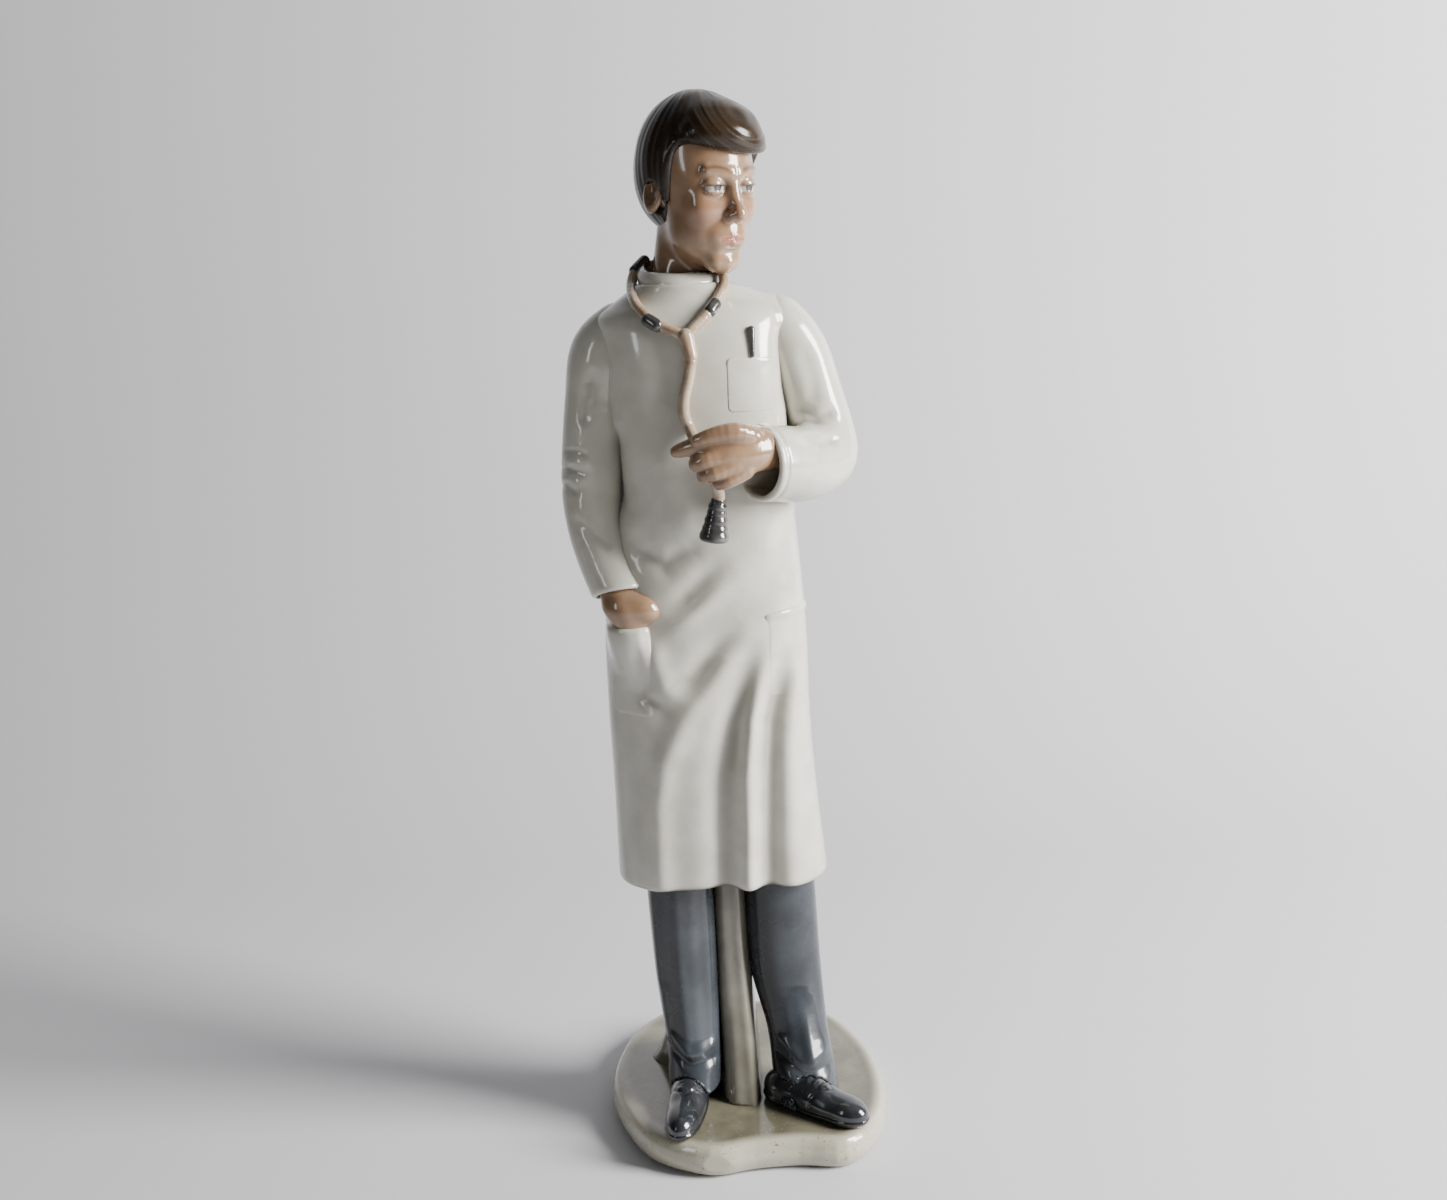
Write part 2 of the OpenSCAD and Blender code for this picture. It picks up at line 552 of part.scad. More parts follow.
module hair() color("#5a4632") figure() blended() difference() {
    at_head() difference() {
        union() {
            skull(hair_t, hair_line);
            // Swept lock over the forehead
            limb([[-10, -head_d * 0.36, head_h * 0.86, 4, 3], [-1, -head_d * 0.47, head_h * 0.86, 6, 4],
                [9, -head_d * 0.47, head_h * 0.81, 6, 4], [15, -head_d * 0.34, head_h * 0.75, 5, 4],
                [18, -head_d * 0.16, head_h * 0.66, 3, 3]], [0, 0, 1], limb_points, 3);
        }
        // Open in front of the sideburns and below the fringe
        translate([-head_w, head_d * 0.18, 0])
            rotate([30, 0, 0])
                translate([0, -2 * head_d, -head_h])
                    cube([2 * head_w, 2 * head_d, head_h * 1.9]);
    }
    head_form();
    coat_form();
}

// ---- Stethoscope ----

yoke_at = on_front(-0.06, 0.915, 1.2);
// Ear tubes lie on the coat round the collar and end behind the neck
ear_path_right = [yoke_at + [-1.5, 0.3, 2], on_front(-0.3, 0.935, 1), on_front(-0.62, 0.955, 1.4),
    on_front(-0.78, 0.972, 1.2), [neck_xy.x - collar_d / 2 - 0.5, neck_xy.y - 2, neck_z + 0.5],
    [neck_xy.x - collar_d / 2 + 1.5, neck_xy.y + 9, neck_z + 3],
    [neck_xy.x - 6, neck_xy.y + collar_d / 2 + 0.5, neck_z + 2]];
ear_path_left = [yoke_at + [1.2, 0.2, 1.8], on_front(0.16, 0.945, 1.2), on_front(0.42, 0.965, 1.5),
    [neck_xy.x + collar_d / 2 - 0.6, neck_xy.y - 6, neck_z + 0.7],
    [neck_xy.x + collar_d / 2 + 1.4, neck_xy.y + 2, neck_z + 1.5],
    [neck_xy.x + collar_d / 2 - 3, neck_xy.y + 12, neck_z + 2],
    [neck_xy.x + 5, neck_xy.y + collar_d / 2 + 0.5, neck_z + 2]];
band_path_right = [on_front(-0.42, 0.943, 1), on_front(-0.56, 0.951, 1.3)];
band_path_left = [on_front(0.18, 0.946, 1), on_front(0.36, 0.96, 1.2)];
module ear_tube(path) difference() {
    tube(path, ear_tube_d, 3);
    coat_form();
    collar_form();
    ear_tip_forms();
    yoke_form();
}
module ear_tube_right() color("#d9d0c2") figure() blended() ear_tube(ear_path_right);
module ear_tube_left() color("#d9d0c2") figure() blended() ear_tube(ear_path_left);
module ear_tip_forms() for (path = [ear_path_right, ear_path_left])
    translate(path[len(path) - 1])
        sphere(d = band_d + 0.6, $fn = 16);
module ear_tips() color("#4c463f") figure() blended() difference() {
    ear_tip_forms();
    coat_form();
    collar_form();
}
module tube_bands() color("#5b5349") figure() blended() difference() {
    union() {
        tube(band_path_right, band_d);
        tube(band_path_left, band_d);
    }
    coat_form();
    tube(ear_path_right, ear_tube_d, 3);
    tube(ear_path_left, ear_tube_d, 3);
}
module yoke_form() {
    tube([yoke_at + [-2.6, 0, 3.6], yoke_at], tube_d * 1.05);
    tube([yoke_at + [2.6, 0, 3.6], yoke_at], tube_d * 1.05);
    tube([yoke_at + [0, 0, 1.5], yoke_at + [-0.1, 0, -4]], tube_d * 1.2);
}
module stethoscope_yoke() color("#cfc4b4") figure() blended() difference() {
    yoke_form();
    coat_form();
}
// The tube hangs from the yoke, passes under the hand and ends in the chest piece
bell_at = on_front(0.17, 0.672, 2.2);
tube_upper_path = [yoke_at + [-0.1, 0, -4], on_front(-0.06, 0.85, 1.2), on_front(-0.1, 0.8, 1.4),
    on_front(-0.02, 0.765, 2), [palm_left.x - 11, palm_left.y + 4.5, palm_left.z + 1]];
tube_lower_path = [[palm_left.x - 11, palm_left.y + 4, palm_left.z + 3],
    [palm_left.x - 10, palm_left.y + 5, palm_left.z - 6], bell_at + [0, -0.3, 2.5], bell_at - [0, 0, 2]];
module stethoscope_tube_upper() color("#d6c9b6") figure() blended() difference() {
    tube(tube_upper_path, tube_d);
    coat_form();
    yoke_form();
}
module stethoscope_tube_lower() color("#b9a78f") figure() blended() difference() {
    tube(tube_lower_path, tube_d, 3);
    coat_form();
    tube(tube_upper_path, tube_d);
    bell_form();
}
module bell_form() translate(bell_at) rotate([-4, 4, 0]) translate([0, 0, -bell_l])
    rotate_extrude($fn = 40)
        polygon([[0, 0], [bell_d / 2 - 0.5, 0], [bell_d / 2, 1], [bell_d / 2, 2.6], [bell_d / 2 - 0.8, 3.2],
            [bell_d * 0.36, bell_l * 0.45], [bell_d * 0.27, bell_l * 0.8], [bell_d * 0.24, bell_l], [0, bell_l]]);
module chest_piece() color("#4d5357") figure() blended() difference() {
    bell_form();
    coat_form();
}

// ---- Assembly ----

base_plinth();
support_post();
shoe_right();
shoe_left();
trouser_leg_right();
trouser_leg_left();
coat_body();
coat_collar();
sleeve_right();
sleeve_left();
hand_right();
hand_left();
hip_pocket_right();
hip_pocket_left();
breast_pocket();
pen();
head();
hair();
ear_tube_right();
ear_tube_left();
ear_tips();
tube_bands();
stethoscope_yoke();
stethoscope_tube_upper();
stethoscope_tube_lower();
chest_piece();
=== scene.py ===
"""Looks of a glazed porcelain figurine: a young doctor in a long white coat, on a low plinth.

Every piece is sculpted as a signed distance field in millimetres, turned into a fine mesh, and stands for
the CAD node of the same name. Sizes are in the figure's own frame: it faces -Y, and its right side is -X.
"""
import math

import bpy
import numpy as np
from mathutils import Matrix, Vector


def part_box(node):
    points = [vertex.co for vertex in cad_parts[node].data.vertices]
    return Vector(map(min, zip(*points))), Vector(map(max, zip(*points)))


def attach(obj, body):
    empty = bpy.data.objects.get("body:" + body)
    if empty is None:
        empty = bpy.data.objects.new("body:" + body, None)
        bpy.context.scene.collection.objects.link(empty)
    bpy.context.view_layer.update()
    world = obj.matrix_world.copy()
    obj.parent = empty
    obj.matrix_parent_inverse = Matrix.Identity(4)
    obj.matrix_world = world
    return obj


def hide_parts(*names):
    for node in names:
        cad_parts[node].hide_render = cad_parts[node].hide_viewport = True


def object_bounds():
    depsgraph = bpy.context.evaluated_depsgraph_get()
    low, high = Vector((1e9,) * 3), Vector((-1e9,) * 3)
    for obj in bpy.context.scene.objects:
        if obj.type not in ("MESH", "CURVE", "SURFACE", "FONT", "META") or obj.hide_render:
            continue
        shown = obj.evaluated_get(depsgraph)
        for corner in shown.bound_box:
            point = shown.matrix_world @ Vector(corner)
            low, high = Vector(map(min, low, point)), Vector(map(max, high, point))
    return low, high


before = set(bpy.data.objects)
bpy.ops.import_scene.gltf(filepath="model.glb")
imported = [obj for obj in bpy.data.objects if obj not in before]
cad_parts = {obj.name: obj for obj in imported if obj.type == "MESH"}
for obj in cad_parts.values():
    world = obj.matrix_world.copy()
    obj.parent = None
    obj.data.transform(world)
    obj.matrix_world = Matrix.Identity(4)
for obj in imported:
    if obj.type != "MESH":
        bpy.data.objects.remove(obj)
cad_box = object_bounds()

MM = 0.001


# ---------------------------------------------------------------- places taken from the frame

def node_box(node):
    """Lowest and highest corners of a CAD node, in millimetres."""
    low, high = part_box(node)
    return np.array(low) / MM, np.array(high) / MM


# Where the figure's own frame lies behind the middle of the plinth
FIGURE_Y = -6.0
BASE_LOW, BASE_HIGH = node_box("base_plinth")
COAT_LOW, COAT_HIGH = node_box("coat_body")
LEG_LOW, LEG_HIGH = node_box("trouser_leg_right")
BASE_TOP = BASE_HIGH[2]
HEM_Z = COAT_LOW[2]
NECK_Z = COAT_HIGH[2]
WEB_Z = LEG_HIGH[2]
CHIN_Z = NECK_Z + 4.0
BASE_MID = (BASE_LOW + BASE_HIGH)[:2] / 2 - np.array([0.0, FIGURE_Y])
BASE_HALF = (BASE_HIGH - BASE_LOW)[:2] / 2


# ---------------------------------------------------------------- distance fields

def length(v):
    return np.sqrt((v * v).sum(axis=-1))


def smoothstep(low, high, x):
    t = np.clip((x - low) / (high - low), 0.0, 1.0)
    return t * t * (3.0 - 2.0 * t)


def union(a, b, blend=0.0):
    """Joins two fields, with a fillet about as wide as blend."""
    if blend <= 0.0:
        return np.minimum(a, b)
    h = np.maximum(blend - np.abs(a - b), 0.0) / blend
    return np.minimum(a, b) - h * h * blend * 0.25


def common(a, b, blend=0.0):
    return -union(-a, -b, blend)


def cut(a, b, blend=0.0):
    return -union(-a, b, blend)


def turn(degrees, axis):
    return np.array(Matrix.Rotation(math.radians(degrees), 3, axis))


def ellipsoid(p, mid, radii, rotation=None):
    q = p - np.asarray(mid, dtype=p.dtype)
    if rotation is not None:
        q = q @ rotation
    r = np.asarray(radii, dtype=p.dtype)
    k0 = length(q / r)
    k1 = length(q / (r * r))
    return k0 * (k0 - 1.0) / np.maximum(k1, 1e-6)


def cone(p, a, b, ra, rb):
    """Round cone from a to b, with a radius at each end."""
    a = np.asarray(a, dtype=p.dtype)
    ab = np.asarray(b, dtype=p.dtype) - a
    t = np.clip(((p - a) @ ab) / max(float(ab @ ab), 1e-9), 0.0, 1.0)
    return length(p - a - t[..., None] * ab) - (ra + (rb - ra) * t)


def spline(points, steps):
    """Catmull-Rom curve through points of any size."""
    pts = np.asarray(points, dtype=float)
    ext = np.vstack([2 * pts[0] - pts[1], pts, 2 * pts[-1] - pts[-2]])
    out = []
    for i in range(len(pts) - 1):
        a, b, c, d = ext[i:i + 4]
        for k in range(steps):
            t = k / steps
            out.append(0.5 * (2 * b + (c - a) * t + (2 * a - 5 * b + 4 * c - d) * t * t
                              + (3 * b - a - 3 * c + d) * t ** 3))
    out.append(pts[-1])
    return np.array(out)


def limb(p, stations, steps=3, blend=1.5):
    """Limb through stations (x, y, z, radius)."""
    path = spline(stations, steps)
    out = None
    for s, e in zip(path[:-1], path[1:]):
        d = cone(p, s[:3], e[:3], s[3], e[3])
        out = d if out is None else union(out, d, blend)
    return out


def flat_limb(p, stations, side, squash, steps=3, blend=1.5):
    """Limb made thinner by the factor squash across the direction side."""
    side = np.asarray(side, dtype=p.dtype)
    side = side / np.linalg.norm(side)
    path = np.array(stations, dtype=float)
    stretch = 1.0 / squash - 1.0
    q = p + (p @ side)[..., None] * side * stretch
    path[:, :3] += (path[:, :3] @ side)[:, None] * side * stretch
    return limb(q, path, steps, blend) * squash


def loft(p, table, power):
    """Upright body through level sections (z, middle x, middle y, half width, half depth)."""
    rows = spline(sorted(table), 6)
    z = p[..., 2]
    cx, cy, rx, ry = (np.interp(z, rows[:, 0], rows[:, k]) for k in range(1, 5))
    u = np.abs(p[..., 0] - cx) / rx + 1e-6
    v = np.abs(p[..., 1] - cy) / ry + 1e-6
    s = (u ** power + v ** power) ** (1.0 / power)
    slope = np.sqrt((u ** (power - 1) / rx) ** 2 + (v ** (power - 1) / ry) ** 2) * s ** (1 - power)
    return (s - 1.0) / np.maximum(slope, 0.5 / np.maximum(rx, ry))


def stroke(x, z, points, width, fade=(0.0, 0.0)):
    """1 along a line of points (x, z), falling to 0 at about twice its width, and fading at its ends."""
    near = np.full(x.shape, 1e9)
    share = np.zeros(x.shape)
    for k, ((ax, az), (bx, bz)) in enumerate(zip(points[:-1], points[1:])):
        dx, dz = bx - ax, bz - az
        t = np.clip(((x - ax) * dx + (z - az) * dz) / (dx * dx + dz * dz), 0.0, 1.0)
        d = np.hypot(x - ax - t * dx, z - az - t * dz)
        share = np.where(d < near, (k + t) / (len(points) - 1), share)
        near = np.minimum(near, d)
    rise = smoothstep(0.0, fade[0], share) if fade[0] else 1.0
    fall = smoothstep(0.0, fade[1], 1.0 - share) if fade[1] else 1.0
    return np.exp(-(near / width) ** 2) * rise * fall


# ---------------------------------------------------------------- from field to mesh

BLOCK = 8
CHUNK = 300000


def evaluate(field, points):
    out = np.empty(len(points), dtype=np.float32)
    for i in range(0, len(points), CHUNK):
        out[i:i + CHUNK] = field(points[i:i + CHUNK])
    return out


def sample(field, low, high, cell):
    """Samples the field on a grid, finely only in blocks that the surface may cross."""
    blocks = np.ceil((np.asarray(high) - np.asarray(low)) / (cell * BLOCK)).astype(int)
    centre_axes = [low[k] + (np.arange(blocks[k]) + 0.5) * cell * BLOCK for k in range(3)]
    centres = np.stack(np.meshgrid(*centre_axes, indexing="ij"), -1).reshape(-1, 3).astype(np.float32)
    d = evaluate(field, centres)
    reach = cell * BLOCK * 0.87 * 1.6 + 1.0
    grid = np.repeat(np.repeat(np.repeat(np.where(d < 0, -9.0, 9.0).astype(np.float32)
                     .reshape(blocks), BLOCK, 0), BLOCK, 1), BLOCK, 2)
    active = np.argwhere(np.abs(d.reshape(blocks)) < reach)
    local = np.stack(np.meshgrid(*[np.arange(BLOCK)] * 3, indexing="ij"), -1).reshape(-1, 3)
    index = (active[:, None, :] * BLOCK + local[None]).reshape(-1, 3)
    values = evaluate(field, (np.asarray(low) + index * cell).astype(np.float32))
    grid[index[:, 0], index[:, 1], index[:, 2]] = values
    return grid


def surface_net(grid, low, cell):
    """Quads over the places where the sampled field changes sign."""
    inside = grid < 0
    shape = np.array(grid.shape) - 1
    corner = [(i, j, k) for i in (0, 1) for j in (0, 1) for k in (0, 1)]
    count = sum(inside[i:i + shape[0], j:j + shape[1], k:k + shape[2]].astype(np.int8) for i, j, k in corner)
    cells = np.argwhere((count > 0) & (count < 8))
    values = {c: grid[cells[:, 0] + c[0], cells[:, 1] + c[1], cells[:, 2] + c[2]] for c in corner}
    total = np.zeros((len(cells), 3))
    hits = np.zeros(len(cells))
    for a in corner:
        for axis in range(3):
            if a[axis]:
                continue
            b = tuple(1 if k == axis else a[k] for k in range(3))
            va, vb = values[a], values[b]
            crossed = (va < 0) != (vb < 0)
            t = np.where(crossed, va / np.where(crossed, va - vb, 1.0), 0.0)
            point = np.tile(np.array(a, dtype=float), (len(cells), 1))
            point[:, axis] = t
            total += point * crossed[:, None]
            hits += crossed
    verts = np.asarray(low) + (cells + total / hits[:, None]) * cell
    number = np.full(tuple(shape), -1, dtype=np.int64)
    number[cells[:, 0], cells[:, 1], cells[:, 2]] = np.arange(len(cells))
    quads = []
    for axis in range(3):
        step = np.eye(3, dtype=int)[axis]
        u, v = [np.eye(3, dtype=int)[(axis + k) % 3] for k in (1, 2)]
        a = inside[:grid.shape[0] - step[0], :grid.shape[1] - step[1], :grid.shape[2] - step[2]]
        b = inside[step[0]:, step[1]:, step[2]:]
        edges = np.argwhere(a != b)
        keep = np.all((edges - u - v >= 0) & (edges < shape), axis=1)
        edges = edges[keep]
        ring = [number[tuple((edges - o).T)] for o in (0 * u, u, u + v, v)]
        quad = np.stack(ring, 1)
        outward = a[tuple(edges.T)]
        quad[~outward] = quad[~outward][:, ::-1]
        quads.append(quad)
    quads = np.vstack(quads)
    return verts, quads[(quads >= 0).all(axis=1)]


def slope_of(field, p, step):
    out = np.empty_like(p)
    for axis in range(3):
        shift = np.zeros(3, dtype=p.dtype)
        shift[axis] = step
        out[:, axis] = (evaluate(field, p + shift) - evaluate(field, p - shift)) / (2 * step)
    return out


def sculpt(name, field, low, high, cell, material, paint=None, outer=None):
    """Makes the mesh object of a field, replacing the CAD node of the same name.

    Its hollows are found in the field outer, which leaves out the inside of a thin wall.
    """
    grid = sample(field, low, high, cell)
    verts, quads = surface_net(grid, low, cell)
    verts = verts.astype(np.float32)
    for _ in range(2):
        d = evaluate(field, verts)
        g = slope_of(field, verts, cell * 0.3)
        move = d[:, None] * g / np.maximum((g * g).sum(1), 0.05)[:, None]
        verts -= np.clip(move, -cell, cell)
    mesh = bpy.data.meshes.new(name)
    placed = (verts + np.array([0.0, FIGURE_Y, 0.0])) * MM
    placed = np.clip(placed, np.array(cad_box[0]) + 0.00005, np.array(cad_box[1]) - 0.00005)
    mesh.vertices.add(len(placed))
    mesh.vertices.foreach_set("co", placed.astype(np.float32).ravel())
    mesh.loops.add(quads.size)
    mesh.loops.foreach_set("vertex_index", quads.astype(np.int32).ravel())
    mesh.polygons.add(len(quads))
    mesh.polygons.foreach_set("loop_start", np.arange(0, quads.size, 4, dtype=np.int32))
    mesh.polygons.foreach_set("use_smooth", np.ones(len(quads), dtype=bool))
    mesh.update(calc_edges=True)
    mesh.validate()
    outer = outer or field
    # Painted shade: how deep each point lies in a hollow, which darkens the glaze there
    hollow = sum(evaluate(outer, verts + np.array(o, dtype=np.float32))
                 for o in [(3, 0, 0), (-3, 0, 0), (0, 3, 0), (0, -3, 0), (0, 0, 3), (0, 0, -3)]) / 6.0
    layers = {"hollow_shade": smoothstep(0.1, -0.9, hollow)}
    if paint is not None:
        layers.update(paint(verts))
    for layer, values in layers.items():
        data = mesh.attributes.new(layer, "FLOAT", "POINT")
        data.data.foreach_set("value", np.asarray(values, dtype=np.float32))
    mesh.materials.append(material)
    piece = bpy.data.objects.new(name + "_glazed", mesh)
    bpy.context.scene.collection.objects.link(piece)
    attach(piece, "root")
    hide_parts(name)
    return piece


# ---------------------------------------------------------------- glazes

def wire(tree, kind, **values):
    node = tree.nodes.new(kind)
    for key, value in values.items():
        setattr(node, key, value)
    return node


def mix_color(tree, factor, a, b):
    """Mixes two colours, each a socket or a tuple, by a socket or a number."""
    node = wire(tree, "ShaderNodeMix", data_type="RGBA")
    for socket, value in ((node.inputs[0], factor), (node.inputs[6], a), (node.inputs[7], b)):
        if isinstance(value, bpy.types.NodeSocket):
            tree.links.new(value, socket)
        else:
            socket.default_value = value if isinstance(value, float) else (*value, 1.0)
    return node.outputs[2]


def attribute(tree, name):
    return wire(tree, "ShaderNodeAttribute", attribute_name=name).outputs["Fac"]


def noise(tree, scale, detail=3.0, stretch=None):
    place = wire(tree, "ShaderNodeTexCoord").outputs["Object"]
    if stretch is not None:
        mapping = wire(tree, "ShaderNodeMapping")
        mapping.inputs["Scale"].default_value = stretch
        tree.links.new(place, mapping.inputs["Vector"])
        place = mapping.outputs["Vector"]
    node = wire(tree, "ShaderNodeTexNoise")
    node.inputs["Scale"].default_value = scale
    node.inputs["Detail"].default_value = detail
    tree.links.new(place, node.inputs["Vector"])
    return node.outputs["Fac"]


def ramp(tree, value, low, high):
    node = wire(tree, "ShaderNodeMapRange", interpolation_type="SMOOTHSTEP")
    node.inputs["From Min"].default_value = low
    node.inputs["From Max"].default_value = high
    tree.links.new(value, node.inputs["Value"])
    return node.outputs["Result"]


def glaze(name, pale, deep, hollow_shade, layers=(), roughness=0.16, bump=0.12, scale=90.0, gloss=0.6, spots=None,
          shine=0.5):
    """Glossy glaze: two tones mixed by noise, with painted shade where the surface lies in a hollow, and
    painted layers on top.
    """
    material = bpy.data.materials.new(name)
    material.use_nodes = True
    tree = material.node_tree
    shader = tree.nodes["Principled BSDF"]
    color = mix_color(tree, ramp(tree, noise(tree, scale), 0.35, 0.65), pale, deep)
    # Painted shade: the glaze turns towards its shade colour where the surface lies in a hollow
    color = mix_color(tree, attribute(tree, "hollow_shade"), color, hollow_shade)
    for layer, tone in layers:
        color = mix_color(tree, attribute(tree, layer), color, tone)
    if spots is not None:
        color = mix_color(tree, ramp(tree, noise(tree, 900.0, 1.0), 0.66, 0.75), color, spots)
    tree.links.new(color, shader.inputs["Base Color"])
    rough = wire(tree, "ShaderNodeMapRange")
    rough.inputs["To Min"].default_value = roughness * 0.75
    rough.inputs["To Max"].default_value = roughness * 1.5
    tree.links.new(noise(tree, 60.0), rough.inputs["Value"])
    tree.links.new(rough.outputs["Result"], shader.inputs["Roughness"])
    shader.inputs["IOR"].default_value = 1.5
    shader.inputs["Specular IOR Level"].default_value = shine
    shader.inputs["Coat Weight"].default_value = gloss
    shader.inputs["Coat Roughness"].default_value = 0.05
    relief = wire(tree, "ShaderNodeBump")
    relief.inputs["Strength"].default_value = bump
    relief.inputs["Distance"].default_value = 0.0004
    tree.links.new(noise(tree, 220.0, 2.0), relief.inputs["Height"])
    tree.links.new(relief.outputs["Normal"], shader.inputs["Normal"])
    return material


# The third colour of each glaze is the painted shade of its hollows
white = glaze("coat_glaze", (0.50, 0.48, 0.41), (0.56, 0.54, 0.47), (0.17, 0.155, 0.125))
plinth_glaze = glaze("plinth_glaze", (0.165, 0.152, 0.105), (0.105, 0.096, 0.064), (0.10, 0.09, 0.06),
                     [("rim", (0.46, 0.43, 0.335))], roughness=0.2, scale=60.0, spots=(0.2, 0.18, 0.13))
post_glaze = glaze("post_glaze", (0.26, 0.242, 0.198), (0.18, 0.166, 0.132), (0.07, 0.062, 0.048),
                   [("foot", (0.15, 0.138, 0.097))], scale=50.0)
shoe_glaze = glaze("shoe_glaze", (0.014, 0.0155, 0.018), (0.026, 0.029, 0.033), (0.004, 0.004, 0.005),
                   [("sole", (0.010, 0.010, 0.011))], scale=120.0)
# The fade layer of the trousers is painted shade: under the coat and down the shade side of each leg
trouser_glaze = glaze("trouser_glaze", (0.022, 0.026, 0.031), (0.044, 0.051, 0.060), (0.008, 0.009, 0.010),
                      [("fade", (0.008, 0.009, 0.010))], scale=45.0, roughness=0.24, gloss=0.4, shine=0.3)
skin = glaze("skin_glaze", (0.29, 0.18, 0.105), (0.23, 0.14, 0.082), (0.09, 0.045, 0.024),
             [("blush", (0.33, 0.13, 0.075)), ("brow", (0.075, 0.045, 0.028)), ("white", (0.60, 0.56, 0.50)),
              ("dark", (0.02, 0.015, 0.012)), ("lips", (0.36, 0.13, 0.09)), ("shade", (0.12, 0.07, 0.045))],
             scale=70.0, bump=0.05)
hair_glaze = glaze("hair_glaze", (0.014, 0.0085, 0.0045), (0.022, 0.0135, 0.007), (0.004, 0.0025, 0.0015),
                   [("strand", (0.038, 0.024, 0.0135))], scale=80.0, gloss=0.15, roughness=0.24, shine=0.25)
tube_glaze = glaze("tube_glaze", (0.30, 0.205, 0.13), (0.42, 0.33, 0.24), (0.12, 0.075, 0.045), scale=160.0)
dark_glaze = glaze("dark_glaze", (0.028, 0.027, 0.026), (0.06, 0.058, 0.055), (0.006, 0.006, 0.006),
                   scale=200.0)


# ---------------------------------------------------------------- plinth and post

# The plinth's outline from above, as shares of its half width and half depth
PLINTH_OUTLINE = [(-1, -0.12), (-0.87, -0.55), (-0.66, -0.85), (-0.28, -1.02), (0.04, -0.965), (0.33, -0.945),
                  (0.66, -0.96), (0.9, -0.73), (1, -0.36), (0.985, 0.05), (0.89, 0.4), (0.68, 0.76),
                  (0.32, 0.98), (-0.12, 1), (-0.55, 0.93), (-0.83, 0.68), (-0.97, 0.3)]


def closed_curve(points, steps):
    """Smooth closed curve through points, with the given steps from each point to the next."""
    loop = np.array(points + points[:3], dtype=float)
    return spline(loop, steps)[steps:-2 * steps + (steps - 1)][:len(points) * steps]


def outline_distance(x, y, curve):
    """Signed distance to a closed outline, negative inside."""
    near = np.full(x.shape, 1e9, dtype=np.float32)
    inside = np.zeros(x.shape, dtype=bool)
    for (ax, ay), (bx, by) in zip(curve, np.roll(curve, -1, axis=0)):
        dx, dy = bx - ax, by - ay
        t = np.clip(((x - ax) * dx + (y - ay) * dy) / (dx * dx + dy * dy + 1e-9), 0, 1)
        near = np.minimum(near, np.hypot(x - ax - t * dx, y - ay - t * dy))
        crosses = (ay > y) != (by > y)
        inside ^= crosses & (x < ax + (y - ay) * dx / (dy if abs(dy) > 1e-9 else 1e-9))
    return np.where(inside, -near, near)


def plinth_curve():
    return closed_curve(PLINTH_OUTLINE, 4) * (BASE_HALF - 0.1) + BASE_MID


PLINTH_CURVE = plinth_curve()
FOOT_RING = 6.0
RECESS_TOP = 7.5
DISH = 0.5


def plinth_form(p):
    """Slab with a full rounded rim, a slightly dished top and a recess inside the foot ring."""
    edge = outline_distance(p[:, 0], p[:, 1], PLINTH_CURVE)
    flat = np.abs(p[:, 2] - BASE_TOP / 2) - BASE_TOP / 2
    dish = DISH * smoothstep(-3.0, -9.0, edge)
    body = common(edge, np.where(p[:, 2] > BASE_TOP / 2, flat + dish, flat), 7.0)
    body = common(body, edge - 0.8 + np.abs(p[:, 2] - BASE_TOP * 0.42) * 0.18, 3.0)
    hollow = common(edge + FOOT_RING, p[:, 2] - RECESS_TOP, 2.0)
    return cut(body, hollow, 1.0)


def plinth_paint(v):
    """Cream on the rim and the side, round the darker top."""
    edge = outline_distance(v[:, 0], v[:, 1], PLINTH_CURVE)
    side = smoothstep(BASE_TOP - 2.5, BASE_TOP - 6.0, v[:, 2])
    return {"rim": np.maximum(smoothstep(-8.0, -1.5, edge), side) * 0.9}


MOUND_H = 68


def post_form(p):
    """Support between the legs, spreading to the plinth with a low mound behind it."""
    stem = loft(p, [(BASE_TOP - 1, 1, -5, 8.5, 20), (30, 0.5, -3, 7.8, 16), (60, -1, 1, 7.2, 12),
                    (WEB_Z, -2, 3, 6.4, 9)], 2.6)
    stem = common(stem, np.abs(p[:, 2] - (BASE_TOP + WEB_Z) / 2 + 0.5) - (WEB_Z - BASE_TOP) / 2, 0.5)
    mound = loft(p, [(BASE_TOP - 2, -14.0, 18, 23, 13.5), (BASE_TOP + 2, -14.0, 17.5, 20, 11.5),
                     (BASE_TOP + 7, -14.0, 17, 17.8, 10), (BASE_TOP + 16, -14.0, 16, 15.2, 8),
                     (BASE_TOP + 34, -14.5, 13, 13.5, 6.5), (BASE_TOP + 52, -8.5, 8, 8.5, 5.5),
                     (BASE_TOP + MOUND_H, -4, 6, 4.5, 4.5)], 2.0)
    mound = common(common(mound, p[:, 2] - BASE_TOP - MOUND_H, 4.0), BASE_TOP - 0.8 - p[:, 2])
    post = union(stem, mound, 6.0)
    ridge = stroke(p[:, 0], p[:, 2], [(5.5, BASE_TOP), (4.0, 40), (2.0, 70), (1.0, WEB_Z)], 2.2)
    return post - 1.2 * ridge * smoothstep(0.0, -8.0, p[:, 1])


def post_paint(v):
    """The plinth's own tone, running up the foot of the mound."""
    return {"foot": smoothstep(BASE_TOP + 22, BASE_TOP + 3, v[:, 2]) * smoothstep(2.0, 9.0, v[:, 1])}


# ---------------------------------------------------------------- shoes and trousers

def shoe_place(heel, toe):
    """Shoe space as its heel, turning and length: x from heel to toe, y across, z above the plinth."""
    heel, toe = np.array(heel), np.array(toe)
    way = (toe - heel) / np.linalg.norm(toe - heel)
    return heel, np.array([[way[0], -way[1], 0], [way[1], way[0], 0], [0, 0, 1]]), np.linalg.norm(toe - heel)


